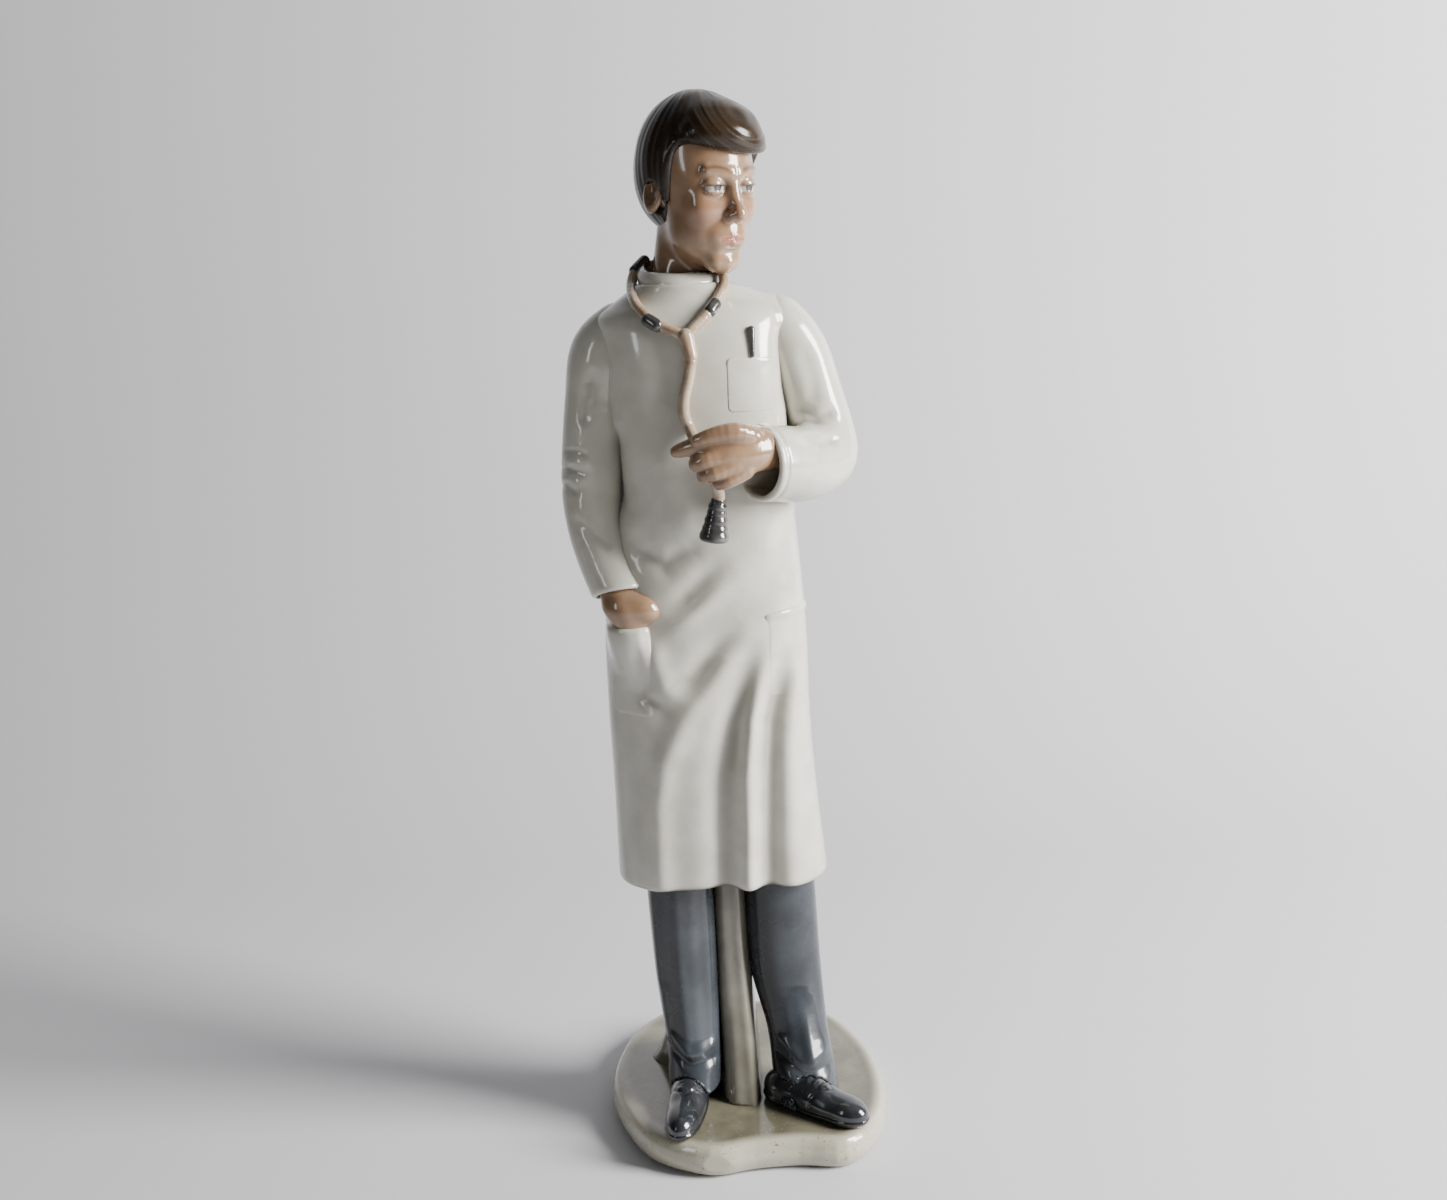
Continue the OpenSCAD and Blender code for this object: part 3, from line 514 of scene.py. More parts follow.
def shoe_form(p, place, toe_width):
    """Laced shoe with a welt, a heel and a tongue, drawn 50 mm long and then stretched to its length."""
    heel, turning, size = place
    q = (p - np.array([heel[0], heel[1], BASE_TOP], dtype=np.float32)) @ turning.astype(np.float32)
    s = size / 50.0
    last = ellipsoid(q, (8.5 * s, 0, 4.5), (9 * s, 6.4, 8.0))
    last = union(last, ellipsoid(q, (19 * s, 0, 4.4), (14 * s, 6.6, 8.2)), 5.0)
    last = union(last, ellipsoid(q, (33.5 * s, 0.4, 3.4), (14 * s, 7.1, 5.9)), 6.0)
    last = union(last, ellipsoid(q, (42 * s, 0, 3.6), (7.7 * s, toe_width, 4.5)), 4.0)
    tongue = cone(q, (19 * s, 0, 9.8), (30 * s, 0, 6.6), 2.9, 2.2)
    last = union(last, tongue, 2.0)
    lace = sum(np.exp(-((q[:, 0] - x * s) / 0.9) ** 2) for x in (22.5, 26, 29.5))
    lace = lace * smoothstep(4.0, 2.0, np.abs(q[:, 1]))
    last = last - 0.45 * lace * smoothstep(5.0, 8.0, q[:, 2])
    vamp = np.abs(q[:, 0] - (33 * s - np.abs(q[:, 1]) * 0.9))
    last = last + 0.35 * np.exp(-(vamp / 0.7) ** 2) * smoothstep(2.5, 4.5, q[:, 2])
    sole = common(last - 0.7, q[:, 2] - 2.6, 0.8)
    sole = cut(sole, ellipsoid(q, (15 * s, 0, 0.0), (3.5 * s, 20.0, 1.6)), 0.6)
    return common(union(last, sole, 0.3), -q[:, 2], 0.4)


SHOE_RIGHT = shoe_place((-17.0, 1.0), (-24.0, -51.0))
SHOE_LEFT = shoe_place((10.7, -15.0), (47.0, -43.6))


def shoe_right_form(p):
    return shoe_form(p, SHOE_RIGHT, 4.7)


def shoe_left_form(p):
    return shoe_form(p, SHOE_LEFT, 5.8)


def shoe_paint(v):
    return {"sole": smoothstep(BASE_TOP + 3.2, BASE_TOP + 2.2, v[:, 2])}


def leg_form(p, table, shoe, creases):
    """Trouser leg through level sections, with a front crease and soft rumples, cut to fit over the shoe."""
    leg = loft(p, table, 2.15)
    hem_z, _, hem_y = table[-1][:3]
    before = smoothstep(4.0, -4.0, p[:, 1] - hem_y)
    for height, width, points in creases:
        leg = leg - height * stroke(p[:, 0], p[:, 2], points, width) * before
    tilt = hem_z + 0.14 * (p[:, 1] - hem_y)
    leg = common(leg, tilt - p[:, 2], 2.5)
    leg = common(leg, p[:, 2] - WEB_Z, 0.5)
    return cut(leg, shoe(p) - 0.15)


def leg_right_form(p):
    sections = [(WEB_Z, -21.3, -4, 13, 13), (90, -20.6, -4.6, 12.8, 13), (62, -19.5, -6, 12.2, 12.6),
                (40, -18.0, -9, 11.0, 12.2), (30, -17.4, -11, 10.6, 13.2), (19.5, -17.6, -12.8, 10.5, 14.9)]
    creases = [(0.8, 2.5, [(-23, 112), (-22, 70), (-20, 35)]),
               (-0.9, 3.0, [(-13, 112), (-13, 60), (-12, 35)]),
               (0.9, 2.0, [(-26, 40), (-19, 34), (-11, 36)]),
               (-0.8, 1.8, [(-27, 35), (-19, 30), (-10, 31)]),
               (-0.8, 3.0, [(-29, 100), (-28, 62)])]
    return leg_form(p, sections, shoe_right_form, creases)


def leg_left_form(p):
    sections = [(WEB_Z, 17.6, -2, 13.2, 13), (90, 18.3, -2.4, 13.8, 13), (62, 19.4, -3, 14.0, 12.8),
                (40, 23.0, -9.0, 12.0, 12.6), (27, 24.8, -15.0, 12.2, 13.6), (15.0, 25.8, -19.0, 13.2, 15.2)]
    creases = [(0.8, 2.5, [(20, 112), (22, 70), (28, 30)]),
               (-0.9, 3.0, [(11, 112), (12, 60), (17, 32)]),
               (0.8, 2.0, [(16, 38), (24, 32), (35, 34)]),
               (-0.8, 1.8, [(15, 33), (24, 27), (36, 28)])]
    return leg_form(p, sections, shoe_left_form, creases)


def leg_paint(v, middle, lean):
    """Painted shade: darker under the coat, and on the figure's right of a line that starts at middle and
    leans sideways, down the shade side of the leg.
    """
    under = smoothstep(95.0, 112.0, v[:, 2]) * 0.8
    line = middle + 0.10 * (70.0 - v[:, 2]) * lean
    side = smoothstep(1.0, -6.0, v[:, 0] - line) * 0.75
    return {"fade": np.maximum(under, side)}


def leg_right_paint(v):
    return leg_paint(v, -24.0, 0.25)


def leg_left_paint(v):
    return leg_paint(v, 17.0, 1.1)


# ---------------------------------------------------------------- coat

# Level sections of the coat: z, middle x, middle y, half width, half depth
COAT_SECTIONS = [(103, -3.8, 0, 40.5, 27), (139, -5.7, 0, 38.9, 26), (175, -7.2, 0, 38.1, 25.3),
                 (206, -7, -1, 37.4, 24.5), (249, -5.4, -3, 32.7, 22.5), (282, -6.8, -4, 32, 22.3),
                 (305, -7.6, -4, 32, 22), (315, -8.2, -3, 33, 19), (321, -8.5, -1, 26, 15.5),
                 (327, -11, 0, 16, 14)]

# Folds as height, width, line of points (x, z), and the shares of the line that fade in and out
FRONT_FOLDS = [
    (1.8, 4.8, [(14, 232), (4, 222), (-7, 214), (-17, 205), (-25, 196)], 0.5, 0.4),
    (-1.3, 4.4, [(4, 229), (-6, 222), (-14, 214), (-22, 207)], 0.5, 0.4),
    (-1.9, 5.2, [(20, 221), (8, 204), (-3, 195), (-12, 184), (-17, 176)], 0.5, 0.4),
    (2.0, 5.2, [(18, 216), (10, 206), (-4, 186), (-16, 169), (-24, 153), (-28, 135), (-28, 104)], 0.4, 0.0),
    (-3.2, 5.2, [(14, 204), (8, 188), (2, 168), (-2, 148), (-3, 127), (-3, 103)], 0.5, 0.0),
    (3.2, 4.2, [(19, 206), (14, 188), (9, 168), (7, 147), (7, 126), (6, 103)], 0.45, 0.0),
    (-3.2, 4.6, [(24, 198), (20, 184), (16, 168), (15, 147), (14, 121), (14, 103)], 0.35, 0.0),
    (1.6, 6.0, [(30, 208), (26, 180), (23, 150), (24, 104)], 0.4, 0.0),
    (-1.4, 5.0, [(-38, 196), (-37, 160), (-36, 110)], 0.3, 0.2),
    (-1.6, 3.2, [(-33.5, 202), (-32.5, 190), (-30, 178), (-19, 170)], 0.2, 0.4),
    (1.6, 4.6, [(-27.5, 206), (-26, 192), (-23, 182), (-14, 175)], 0.3, 0.4),
    (-2.0, 4.6, [(-34, 244), (-29, 232), (-21, 228), (-12, 233), (-5, 243)], 0.3, 0.4),
    (-2.2, 3.8, [(-37, 280), (-37, 262), (-35, 240)], 0.3, 0.3),
    (1.2, 8.0, [(-18, 264), (-14, 246)], 0.0, 0.0),
    (-0.8, 1.4, [(20, 323), (23, 311), (24, 295), (24, 278)], 0.3, 0.3),
    (-1.4, 4.6, [(29, 246), (23, 232), (24, 215)], 0.4, 0.4)]

BACK_FOLDS = [
    (-1.2, 1.6, [(-7, 312), (-6, 240), (-5, 103)], 0.2, 0.0),
    (-1.8, 6.0, [(-22, 215), (-18, 160), (-19, 103)], 0.5, 0.0),
    (1.4, 6.0, [(-12, 205), (-11, 150), (-12, 103)], 0.5, 0.0),
    (-1.8, 6.0, [(12, 220), (9, 160), (10, 103)], 0.5, 0.0),
    (1.4, 6.5, [(20, 200), (20, 150), (22, 103)], 0.5, 0.0),
    (-1.6, 5.0, [(-34, 240), (-20, 230), (4, 228), (22, 238)], 0.3, 0.3),
    (1.0, 10.0, [(-24, 290), (-22, 275)], 0.0, 0.0),
    (1.0, 10.0, [(12, 290), (10, 275)], 0.0, 0.0)]


def folds(p, lines):
    total = 0.0
    for height, width, points, *fade in lines:
        total = total + height * stroke(p[:, 0], p[:, 2], points, width, fade or (0.25, 0.25))
    return total


def coat_shell(p):
    """Outside of the coat without sleeves: long body, shoulders, and the folds of the skirt."""
    body = loft(p, COAT_SECTIONS, 2.55)
    front = smoothstep(2.0, -9.0, p[:, 1])
    back = smoothstep(0.0, 10.0, p[:, 1])
    body = body - front * folds(p, FRONT_FOLDS) - back * folds(p, BACK_FOLDS)
    right = cone(p, (-34, -1, 309), (-14, -1, 321), 9.0, 7.5)
    left = cone(p, (-10, -1, 321), (20, -2, 313), 7.5, 9.0)
    return union(body, union(right, left, 2.0), 7.0)


# Where each cuff ends, and the direction its arm runs there
CUFF_LEFT = np.array([13.5, -31.0, 264.5])
CUFF_LEFT_AXIS = np.array([-0.80, -0.60, 0.02])
CUFF_RIGHT = np.array([-36.5, -17.0, 216.3])
CUFF_RIGHT_AXIS = np.array([0.12, -0.36, -0.925])
CUFF_LEFT_WALL = 2.3
CUFF_RIGHT_WALL = 1.9
COLLAR_WALL = 3.0
COLLAR_RIM_Z = 333.5
HEM_WALL = 4.0


def sleeve_left_solid(p):
    """Upper arm, elbow and forearm in one limb, with the creases of the elbow."""
    arm = limb(p, [(23, -2, 311, 10.5), (29.5, -1.5, 300, 11.5), (34.5, -1, 285, 11.2), (38.0, -2, 272, 11.4),
                   (37.5, -7, 263.5, 12.6), (29, -17, 261.5, 12.9), (20, -26, 263.5, 13.0),
                   (10, -34.5, 265, 13.0)], 3, 2.0)
    creases = [(-0.9, 2.2, [(27, 283), (36, 278), (44, 279)]),
               (0.6, 2.4, [(27, 277), (36, 272.5), (46, 274)]),
               (-0.7, 2.0, [(27, 273), (36, 269), (45, 270)]),
               (-0.5, 2.4, [(32, 262), (42, 259), (50, 261)]),
               (-0.7, 3.0, [(31, 306), (35, 290), (35, 280)])]
    return arm - folds(p, creases)


def sleeve_left_form(p):
    """Bent left sleeve, ending in an open cuff."""
    arm = sleeve_left_solid(p)
    along = (p - CUFF_LEFT) @ CUFF_LEFT_AXIS
    hem = 0.5 * np.exp(-((along + 3.2) / 0.6) ** 2)
    outside = common(arm + hem * smoothstep(-9.0, -4.0, along), along, 1.6)
    inside = common(arm + CUFF_LEFT_WALL, -along - 17.0, 3.0)
    return cut(outside, inside, 1.2)


def sleeve_right_solid(p):
    """Nearly straight arm with a bunch of creases at the elbow."""
    arm = limb(p, [(-34, -1, 311, 10.0), (-40.5, -1, 302, 12.0), (-43.6, -1, 288, 11.2),
                   (-46.0, -2, 271, 10.8), (-47.0, -4, 254, 10.8), (-46.2, -7.5, 240, 9.8),
                   (-42.8, -11.5, 227, 9.2), (-37.4, -16.2, 215, 9.4), (-34.5, -18.2, 208, 9.4)], 3, 2.0)
    creases = [(-0.55, 1.3, [(-58, 268), (-52, 268.5), (-46, 266.5)]),
               (0.4, 1.5, [(-58, 265), (-51, 265), (-45, 263)]),
               (-0.6, 1.3, [(-59, 261), (-54, 262), (-47, 259.5)]),
               (0.4, 1.5, [(-59, 258), (-55, 259), (-48, 256)]),
               (-0.5, 1.4, [(-59, 254), (-56, 256), (-50, 252)]),
               (-0.7, 2.4, [(-55, 246), (-46, 238), (-39, 233)]),
               (-0.9, 2.4, [(-44, 300), (-47, 285), (-48, 276)])]
    return arm - folds(p, creases)


def sleeve_right_form(p):
    """Right sleeve, ending in a narrow cuff round the wrist."""
    arm = sleeve_right_solid(p)
    along = (p - CUFF_RIGHT) @ CUFF_RIGHT_AXIS
    outside = common(arm, along, 1.6)
    inside = common(arm + CUFF_RIGHT_WALL, -along - 9.0, 2.0)
    return cut(outside, inside, 1.0)


def collar_solid(p):
    """Funnel collar, standing close round the neck and leaning with it."""
    wall = loft(p, [(303, -10.5, -10.5, 7, 6), (308, -10.5, -8.5, 12, 9.5), (314, -11, -4.5, 16, 14.2),
                    (320, -11, -1.5, 18, 16), (326, -11.5, -0.6, 15.6, 14.8), (331, -12, -0.2, 14.2, 13.9),
                    (340, -12.2, 0.4, 13.8, 13.6)], 2.0)
    roll = 1.0 * np.exp(-((p[:, 2] - 330.5 - 0.22 * p[:, 1]) / 2.2) ** 2)
    return wall - roll


def collar_form(p):
    """Collar with a rim that dips at the front, hollow round the neck and sunk a little into the coat."""
    wall = collar_solid(p)
    rim = p[:, 2] - COLLAR_RIM_Z - 0.24 * p[:, 1]
    body = common(wall, rim, 2.4)
    body = common(body, 305.0 - p[:, 2], 1.0)
    well = common(wall + COLLAR_WALL, 318.0 - p[:, 2], 1.0)
    body = cut(body, well, 1.2)
    return cut(body, coat_shell(p) + 2.5)


def coat_form(p):
    """Coat body that flows up into the collar, with a rounded hem and the hollow under it."""
    body = union(coat_shell(p), collar_solid(p) + 0.5, 5.0)
    outside = common(body, HEM_Z - p[:, 2] - 0.05 * np.abs(p[:, 0] + 4), 3.0)
    outside = common(outside, p[:, 2] - NECK_Z, 1.0)
    return cut(outside, common(body + HEM_WALL, p[:, 2] - WEB_Z, 2.0), 1.2)


# ---------------------------------------------------------------- hands and pockets

# Stations (x, y, z, radius) down the palm and the fingers of the left hand
PALM = [(23, -24, 266, 4.6), (19.5, -30, 268, 5.6), (15.5, -35.5, 270, 6.8), (8, -40, 270.5, 8.4),
        (2, -41.5, 269.5, 7.8)]
INDEX = [(4, -42, 273.0, 3.7), (-3, -43, 273.2, 3.3), (-9, -42, 272.2, 2.9), (-14.5, -40.5, 270.6, 2.2)]
THUMB = [(12, -40.5, 275.2, 3.4), (6, -44.5, 277.0, 3.3), (-1, -45, 276.3, 2.9), (-7, -44.5, 274.6, 2.3)]
MIDDLE = [(3, -43, 268.8, 3.3), (-3.5, -45, 267.8, 3.1), (-7.5, -43.6, 266.6, 2.8), (-6, -39.5, 265.2, 2.4)]
RING = [(5, -43, 265.0, 3.2), (-1.5, -45, 263.6, 3.0), (-5, -43.2, 262.4, 2.7), (-3.5, -39.5, 261.6, 2.3)]
LITTLE = [(9, -42, 263.0, 2.9), (3.5, -43.8, 260.6, 2.6), (0, -42.4, 259.4, 2.3), (1, -39, 259.2, 2.0)]
KNUCKLE = (3.5, -46, 269.5)


def hand_left_form(p):
    """Left hand across the chest: forefinger pointing along, thumb on top, the rest curled round the tube."""
    palm = flat_limb(p, PALM, (0.25, -1, 0.2), 0.66, 3, 2.0)
    pointing = union(limb(p, INDEX, 3, 0.8), limb(p, THUMB, 3, 0.8), 0.4)
    curled = union(limb(p, MIDDLE, 3, 0.6), limb(p, RING, 3, 0.6), 0.5)
    curled = union(curled, limb(p, LITTLE, 3, 0.6), 0.5)
    hand = union(union(palm, curled, 1.6), pointing, 1.4)
    return hand - 0.35 * np.exp(-(length(p - np.array(KNUCKLE, dtype=np.float32)) / 2.0) ** 2)


# Stations from the right wrist down into the pocket, and those of the thumb
FIST = [(-40.8, -13.5, 224, 5.8), (-38.4, -16.5, 216, 6.2), (-34.5, -19, 210.5, 7.4),
        (-32, -18.8, 203, 6.6), (-29.5, -18.2, 194, 5.5)]
FIST_THUMB = [(-31, -22.2, 212.6, 3.0), (-28.4, -22.8, 211.6, 3.7), (-26.6, -22.6, 210.4, 3.4)]


def hand_right_form(p):
    """Right fist, half in the coat pocket."""
    fist = flat_limb(p, FIST, (0.45, -1, 0.1), 0.8, 3, 2.0)
    knob = ellipsoid(p, (-33.6, -19.4, 211.0), (10.4, 7.6, 6.2), turn(8.0, "Y"))
    return union(union(fist, knob, 2.5), limb(p, FIST_THUMB, 3, 0.8), 3.0)


def panel(x, z, middle, half, corner):
    """Outside distance to a rectangle with round corners, seen from the front."""
    away = np.maximum(np.abs(np.stack([x, z], 1) - np.array(middle)) - np.array(half), 0.0)
    return length(away) - corner


def hip_pocket_right_form(p):
    """Pocket bulging over the fist, with a soft open top."""
    coat = coat_shell(p)
    bulge = flat_limb(p, [(-33.6, -18.0, 207, 8.2), (-33.2, -18.3, 201, 7.8), (-32.6, -17.4, 192, 4.6)],
                      (0.3, -1, 0), 0.85, 3, 3.0)
    cloth = union(coat - 0.16, bulge, 8.0)
    edge = p[:, 2] - (205.0 + 0.01 * (p[:, 0] + 34) ** 2)
    slant = p[:, 0] + 0.10 * (p[:, 2] - 205.0)
    border = panel(slant, p[:, 2], (-38.0, 189.0), (5.5, 17.0), 5.0)
    cloth = common(cloth + 1.2 * smoothstep(-4.5, 0.5, border), border, 1.0)
    cloth = common(cloth, edge, 2.2)
    return cut(common(cloth, p[:, 1] + 4.0), coat + 2.0)


def hip_pocket_left_form(p):
    """Flat pocket that fades into the coat below its raised edge."""
    coat = coat_shell(p)
    border = panel(p[:, 0], p[:, 2], (24.0, 192.0), (6.5, 15.0), 3.0)
    flap = 0.7 * np.exp(-((p[:, 2] - 207.6) / 2.0) ** 2)
    cloth = common(coat - 0.14 - flap + 0.5 * smoothstep(-2.6, 0.0, border), border, 0.8)
    cloth = common(cloth, p[:, 2] - 209.0 - 0.15 * (p[:, 0] - 24), 1.0)
    return cut(common(cloth, p[:, 1] + 4.0), coat + 2.0)


def breast_pocket_form(p):
    """Flat pocket with a narrow hem along its top."""
    coat = coat_shell(p)
    border = panel(p[:, 0], p[:, 2], (12.8, 291.5), (6.8, 7.6), 2.2)
    hem = 0.2 * np.exp(-((p[:, 2] - 299.5) / 1.2) ** 2)
    cloth = common(coat - 0.12 - hem, border, 0.5)
    cloth = common(cloth, p[:, 2] - 301.0 + 0.08 * (p[:, 0] - 13), 0.5)
    return cut(common(cloth, p[:, 1] + 4.0), coat + 1.5)


# ---------------------------------------------------------------- head and hair

HEAD_AT = np.array([-5.0, -3.0, 0.0])
HEAD_TURN = turn(38.0, "Z") @ turn(7.0, "X")
HEAD_PIVOT = np.array([0.0, 2.0, 20.0])


def head_space(p):
    """Points in the head's own space: chin at z 0, face towards -Y."""
    q = p - (HEAD_AT + np.array([0.0, 0.0, CHIN_Z]) + HEAD_PIVOT).astype(np.float32)
    return q @ HEAD_TURN.astype(np.float32) + HEAD_PIVOT.astype(np.float32)


def cranium(q):
    return ellipsoid(q, (0, 3.0, 37.5), (18.6, 21.5, 21.5))


def mirrored(q):
    """Folds the right half of the head on to the left."""
    m = q.copy()
    m[:, 0] = np.abs(m[:, 0])
    return m


def face_mass(m):
    mass = union(cranium(m), ellipsoid(m, (0, -5.2, 25), (15.0, 14.6, 22.0)), 5.0)
    mass = union(mass, ellipsoid(m, (0, -4.5, 13.5), (13.2, 13.6, 11.0)), 5.0)
    mass = union(mass, cone(m, (0, -14.6, 5.0), (2.6, -14.0, 5.2), 4.6, 4.2), 3.5)
    mass = union(mass, ellipsoid(m, (8.4, -12.8, 23.6), (5.0, 4.6, 5.0)), 4.0)
    return mass


def eye_parts(m, mass):
    socket = ellipsoid(m, (7.0, -20.6, 30.6), (4.9, 3.4, 3.2))
    mass = cut(mass, socket, 3.2)
    mass = union(mass, cone(m, (1.5, -18.2, 35.4), (9.6, -15.8, 36.2), 1.9, 1.5), 2.6)
    ball = ellipsoid(m, (7.0, -15.6, 30.8), (3.7, 3.5, 3.5))
    mass = union(mass, ball, 0.3)
    arch = m[:, 2] - 30.9 - 0.6 * np.cos(np.clip((m[:, 0] - 7.0) / 3.9, -1.5, 1.5))
    upper = common(ellipsoid(m, (7.0, -15.6, 30.9), (4.5, 4.05, 4.1)), -arch, 0.3)
    lower = common(ellipsoid(m, (7.0, -15.6, 30.6), (4.3, 3.85, 3.9)), m[:, 2] - 29.3, 0.3)
    return union(mass, union(upper, lower), 0.5)


def nose_parts(m, mass):
    mass = union(mass, cone(m, (0, -17.2, 33.5), (0, -22.0, 23.6), 1.5, 2.0), 3.0)
    mass = union(mass, ellipsoid(m, (0, -22.6, 21.9), (2.5, 2.6, 2.2)), 2.0)
    mass = union(mass, ellipsoid(m, (2.3, -20.3, 21.0), (1.5, 2.2, 1.5)), 1.6)
    return cut(mass, ellipsoid(m, (1.3, -21.4, 19.3), (0.6, 1.0, 0.6)), 0.5)


def mouth_parts(m, mass):
    mass = union(mass, ellipsoid(m, (0, -16.4, 14.2), (6.8, 3.6, 5.2)), 3.0)
    mass = cut(mass, cone(m, (0, -21.6, 18.4), (0, -21.4, 16.0), 0.5, 0.7), 1.0)
    upper = cone(m, (0.7, -19.9, 14.5), (4.9, -17.8, 13.5), 1.05, 0.5)
    lower = cone(m, (0, -19.6, 12.0), (3.4, -18.4, 12.7), 1.3, 0.7)
    mass = union(union(mass, upper, 0.9), lower, 0.9)
    line = 13.35 - 0.012 * m[:, 0] ** 2
    crease = np.exp(-((m[:, 2] - line) / 0.35) ** 2) * smoothstep(5.6, 4.2, m[:, 0])
    mass = mass + 0.55 * crease * smoothstep(-14.0, -16.0, m[:, 1])
    return cut(mass, ellipsoid(m, (0, -20.4, 8.8), (3.6, 1.6, 1.3)), 2.4)


def ear_parts(m, mass):
    tilt = turn(-14.0, "Y") @ turn(-12.0, "X")
    ear = ellipsoid(m, (18.0, 3.6, 27.6), (2.4, 4.9, 7.6), tilt)
    ear = cut(ear, ellipsoid(m, (19.8, 3.0, 28.2), (2.5, 3.1, 5.4), tilt), 0.6)
    ear = union(ear, ellipsoid(m, (18.2, 0.8, 26.6), (1.1, 1.4, 1.8)), 0.6)
    return union(mass, ear, 1.0)


def head_form(p):
    q = head_space(p)
    m = mirrored(q)
    mass = mouth_parts(m, nose_parts(m, eye_parts(m, face_mass(m))))
    mass = ear_parts(m, mass)
    neck = limb(p, [(-11, 1, 319, 10.6), (-10.5, 1.5, 330, 10.3), (-8, 2.5, 342, 10.6),
                    (-6, 3.5, 352, 11.0)], 3, 3.0)
    strap = limb(p, [(-15, -8, 320, 2.6), (-15, -2, 336, 2.8), (-14, 6, 350, 3.0)], 3, 2.0)
    neck = union(neck, strap, 3.0)
    return common(union(mass, neck, 3.0), 318.8 - p[:, 2], 0.5)


def head_paint(v):
    """Soft blush, brows, eyes and lips of a plain painted face."""
    q = head_space(v)
    m = mirrored(q)
    front = smoothstep(-8.0, -12.0, m[:, 1])
    brow_line = 36.2 + 1.3 * np.sin(np.clip((m[:, 0] - 2.2) / 9.0, 0, 1) * 2.6)
    brow = np.exp(-((m[:, 2] - brow_line) / 0.75) ** 2)
    brow = brow * smoothstep(2.2, 3.6, m[:, 0]) * smoothstep(12.2, 10.0, m[:, 0])
    arch = 30.9 + 0.6 * np.cos(np.clip((m[:, 0] - 7.0) / 3.9, -1.5, 1.5))
    lash = np.exp(-((m[:, 2] - arch) / 0.38) ** 2) * smoothstep(4.3, 3.6, np.abs(m[:, 0] - 7.0))
    slit = smoothstep(arch + 0.1, arch - 0.2, m[:, 2]) * smoothstep(29.1, 29.4, m[:, 2])
    slit = slit * smoothstep(3.7, 3.3, np.abs(m[:, 0] - 7.0))
    iris = smoothstep(1.75, 1.45, np.hypot(m[:, 0] - 7.0, m[:, 2] - 30.7)) * slit
    cheek = np.exp(-(np.hypot(m[:, 0] - 9.5, m[:, 2] - 21.5) / 5.0) ** 2) * 0.45
    nose = np.exp(-(np.hypot(m[:, 0], m[:, 2] - 21.5) / 3.0) ** 2) * 0.25
    lip_top = 15.5 - 0.05 * m[:, 0] ** 2 + 0.25 * np.minimum(m[:, 0], 1.0)
    lip_low = 10.7 + 0.09 * m[:, 0] ** 2
    lips = smoothstep(lip_top + 0.3, lip_top - 0.3, m[:, 2])
    lips = lips * smoothstep(lip_low - 0.3, lip_low + 0.4, m[:, 2]) * smoothstep(5.3, 4.4, m[:, 0])
    line = np.exp(-((m[:, 2] - 13.35 + 0.012 * m[:, 0] ** 2) / 0.28) ** 2) * smoothstep(5.6, 4.6, m[:, 0])
    under = smoothstep(334.0, 322.0, v[:, 2]) * 0.5
    return {"blush": np.clip(cheek + nose, 0, 1) * front, "brow": brow * front * 0.85,
            "white": slit * front * 0.65, "lips": lips * front * 0.65, "shade": under,
            "dark": np.clip(lash * 0.9 + iris * 0.95 + line * 0.5, 0, 1) * front}


def strands(q):
    """Comb lines: they fan out from the crown, and sweep sideways over the brow."""
    fan = np.arctan2(q[:, 0] - 2.0, q[:, 1] - 8.0)
    tilt = 0.30 * np.sin(q[:, 2] * 0.12)
    behind = np.sin(fan * 17 + tilt * 6.0) + 0.6 * np.sin(fan * 41 + tilt * 9.0)
    sweep = q[:, 2] * 0.95 + q[:, 0] * 0.28 - 0.010 * q[:, 0] ** 2 - q[:, 1] * 0.75
    before = np.sin(sweep * 1.5) + 0.6 * np.sin(sweep * 3.4 + 1.0)
    brow = smoothstep(-4.0, -11.0, q[:, 1])
    return (behind * (1.0 - brow) + before * brow) * 0.6


def hair_form(p):
    """Short combed hair: a cap over the skull, a swept wave over the brow, sideburns and a close nape."""
    q = head_space(p)
    m = mirrored(q)
    cap = ellipsoid(q, (0, 3.4, 38.0), (20.6, 23.6, 24.6))
    cap = union(cap, ellipsoid(q, (0, 9.5, 30.0), (16.8, 16.4, 18.0)), 5.0)
    cap = union(cap, ellipsoid(q, (1.0, -8.5, 49.5), (15.5, 11.5, 9.5)), 4.0)
    wave = limb(q, [(-13, -10.5, 47.5, 3.2), (-8, -14.8, 48.5, 3.8), (0, -17.4, 47.8, 4.6),
                    (8, -15.6, 46.0, 4.8), (14, -10.5, 43.5, 4.2), (17.6, -4.5, 40.5, 3.2)], 3, 2.0)
    cap = union(cap, wave, 3.4)
    lock = limb(q, [(10, -14.0, 44.0, 3.0), (14.5, -10.4, 41.0, 2.7), (16.4, -8.2, 38.2, 1.7)], 3, 1.0)
    cap = union(cap, lock, 1.6)
    cap = cap - 0.13 * strands(q)
    brow_edge = q[:, 2] - (42.3 - 0.10 * q[:, 0] + 0.006 * q[:, 0] ** 2)
    side_edge = q[:, 1] + 2.0 + 0.24 * (q[:, 2] - 24.0)
    cap = cut(cap, common(brow_edge, side_edge, 5.0), 1.4)
    cap = cut(cap, ellipsoid(m, (20.0, 3.4, 24.0), (6.0, 5.0, 7.4)), 1.0)
    cap = common(cap, 12.0 - q[:, 2] + 0.62 * (16.0 - q[:, 1]) * smoothstep(-8.0, 10.0, -q[:, 1]), 1.5)
    burn = limb(m, [(17.2, -2.6, 40, 2.6), (17.2, -2.6, 33, 2.2), (16.6, -2.4, 26, 1.4)], 3, 1.0)
    cap = union(cap, burn, 1.5)
    return cut(common(cap, p[:, 2] - 395.3, 1.0), head_form(p) + 1.2)


def hair_paint(v):
    return {"strand": smoothstep(-0.2, 0.9, strands(head_space(v))) * 0.45}


# ---------------------------------------------------------------- stethoscope and pen

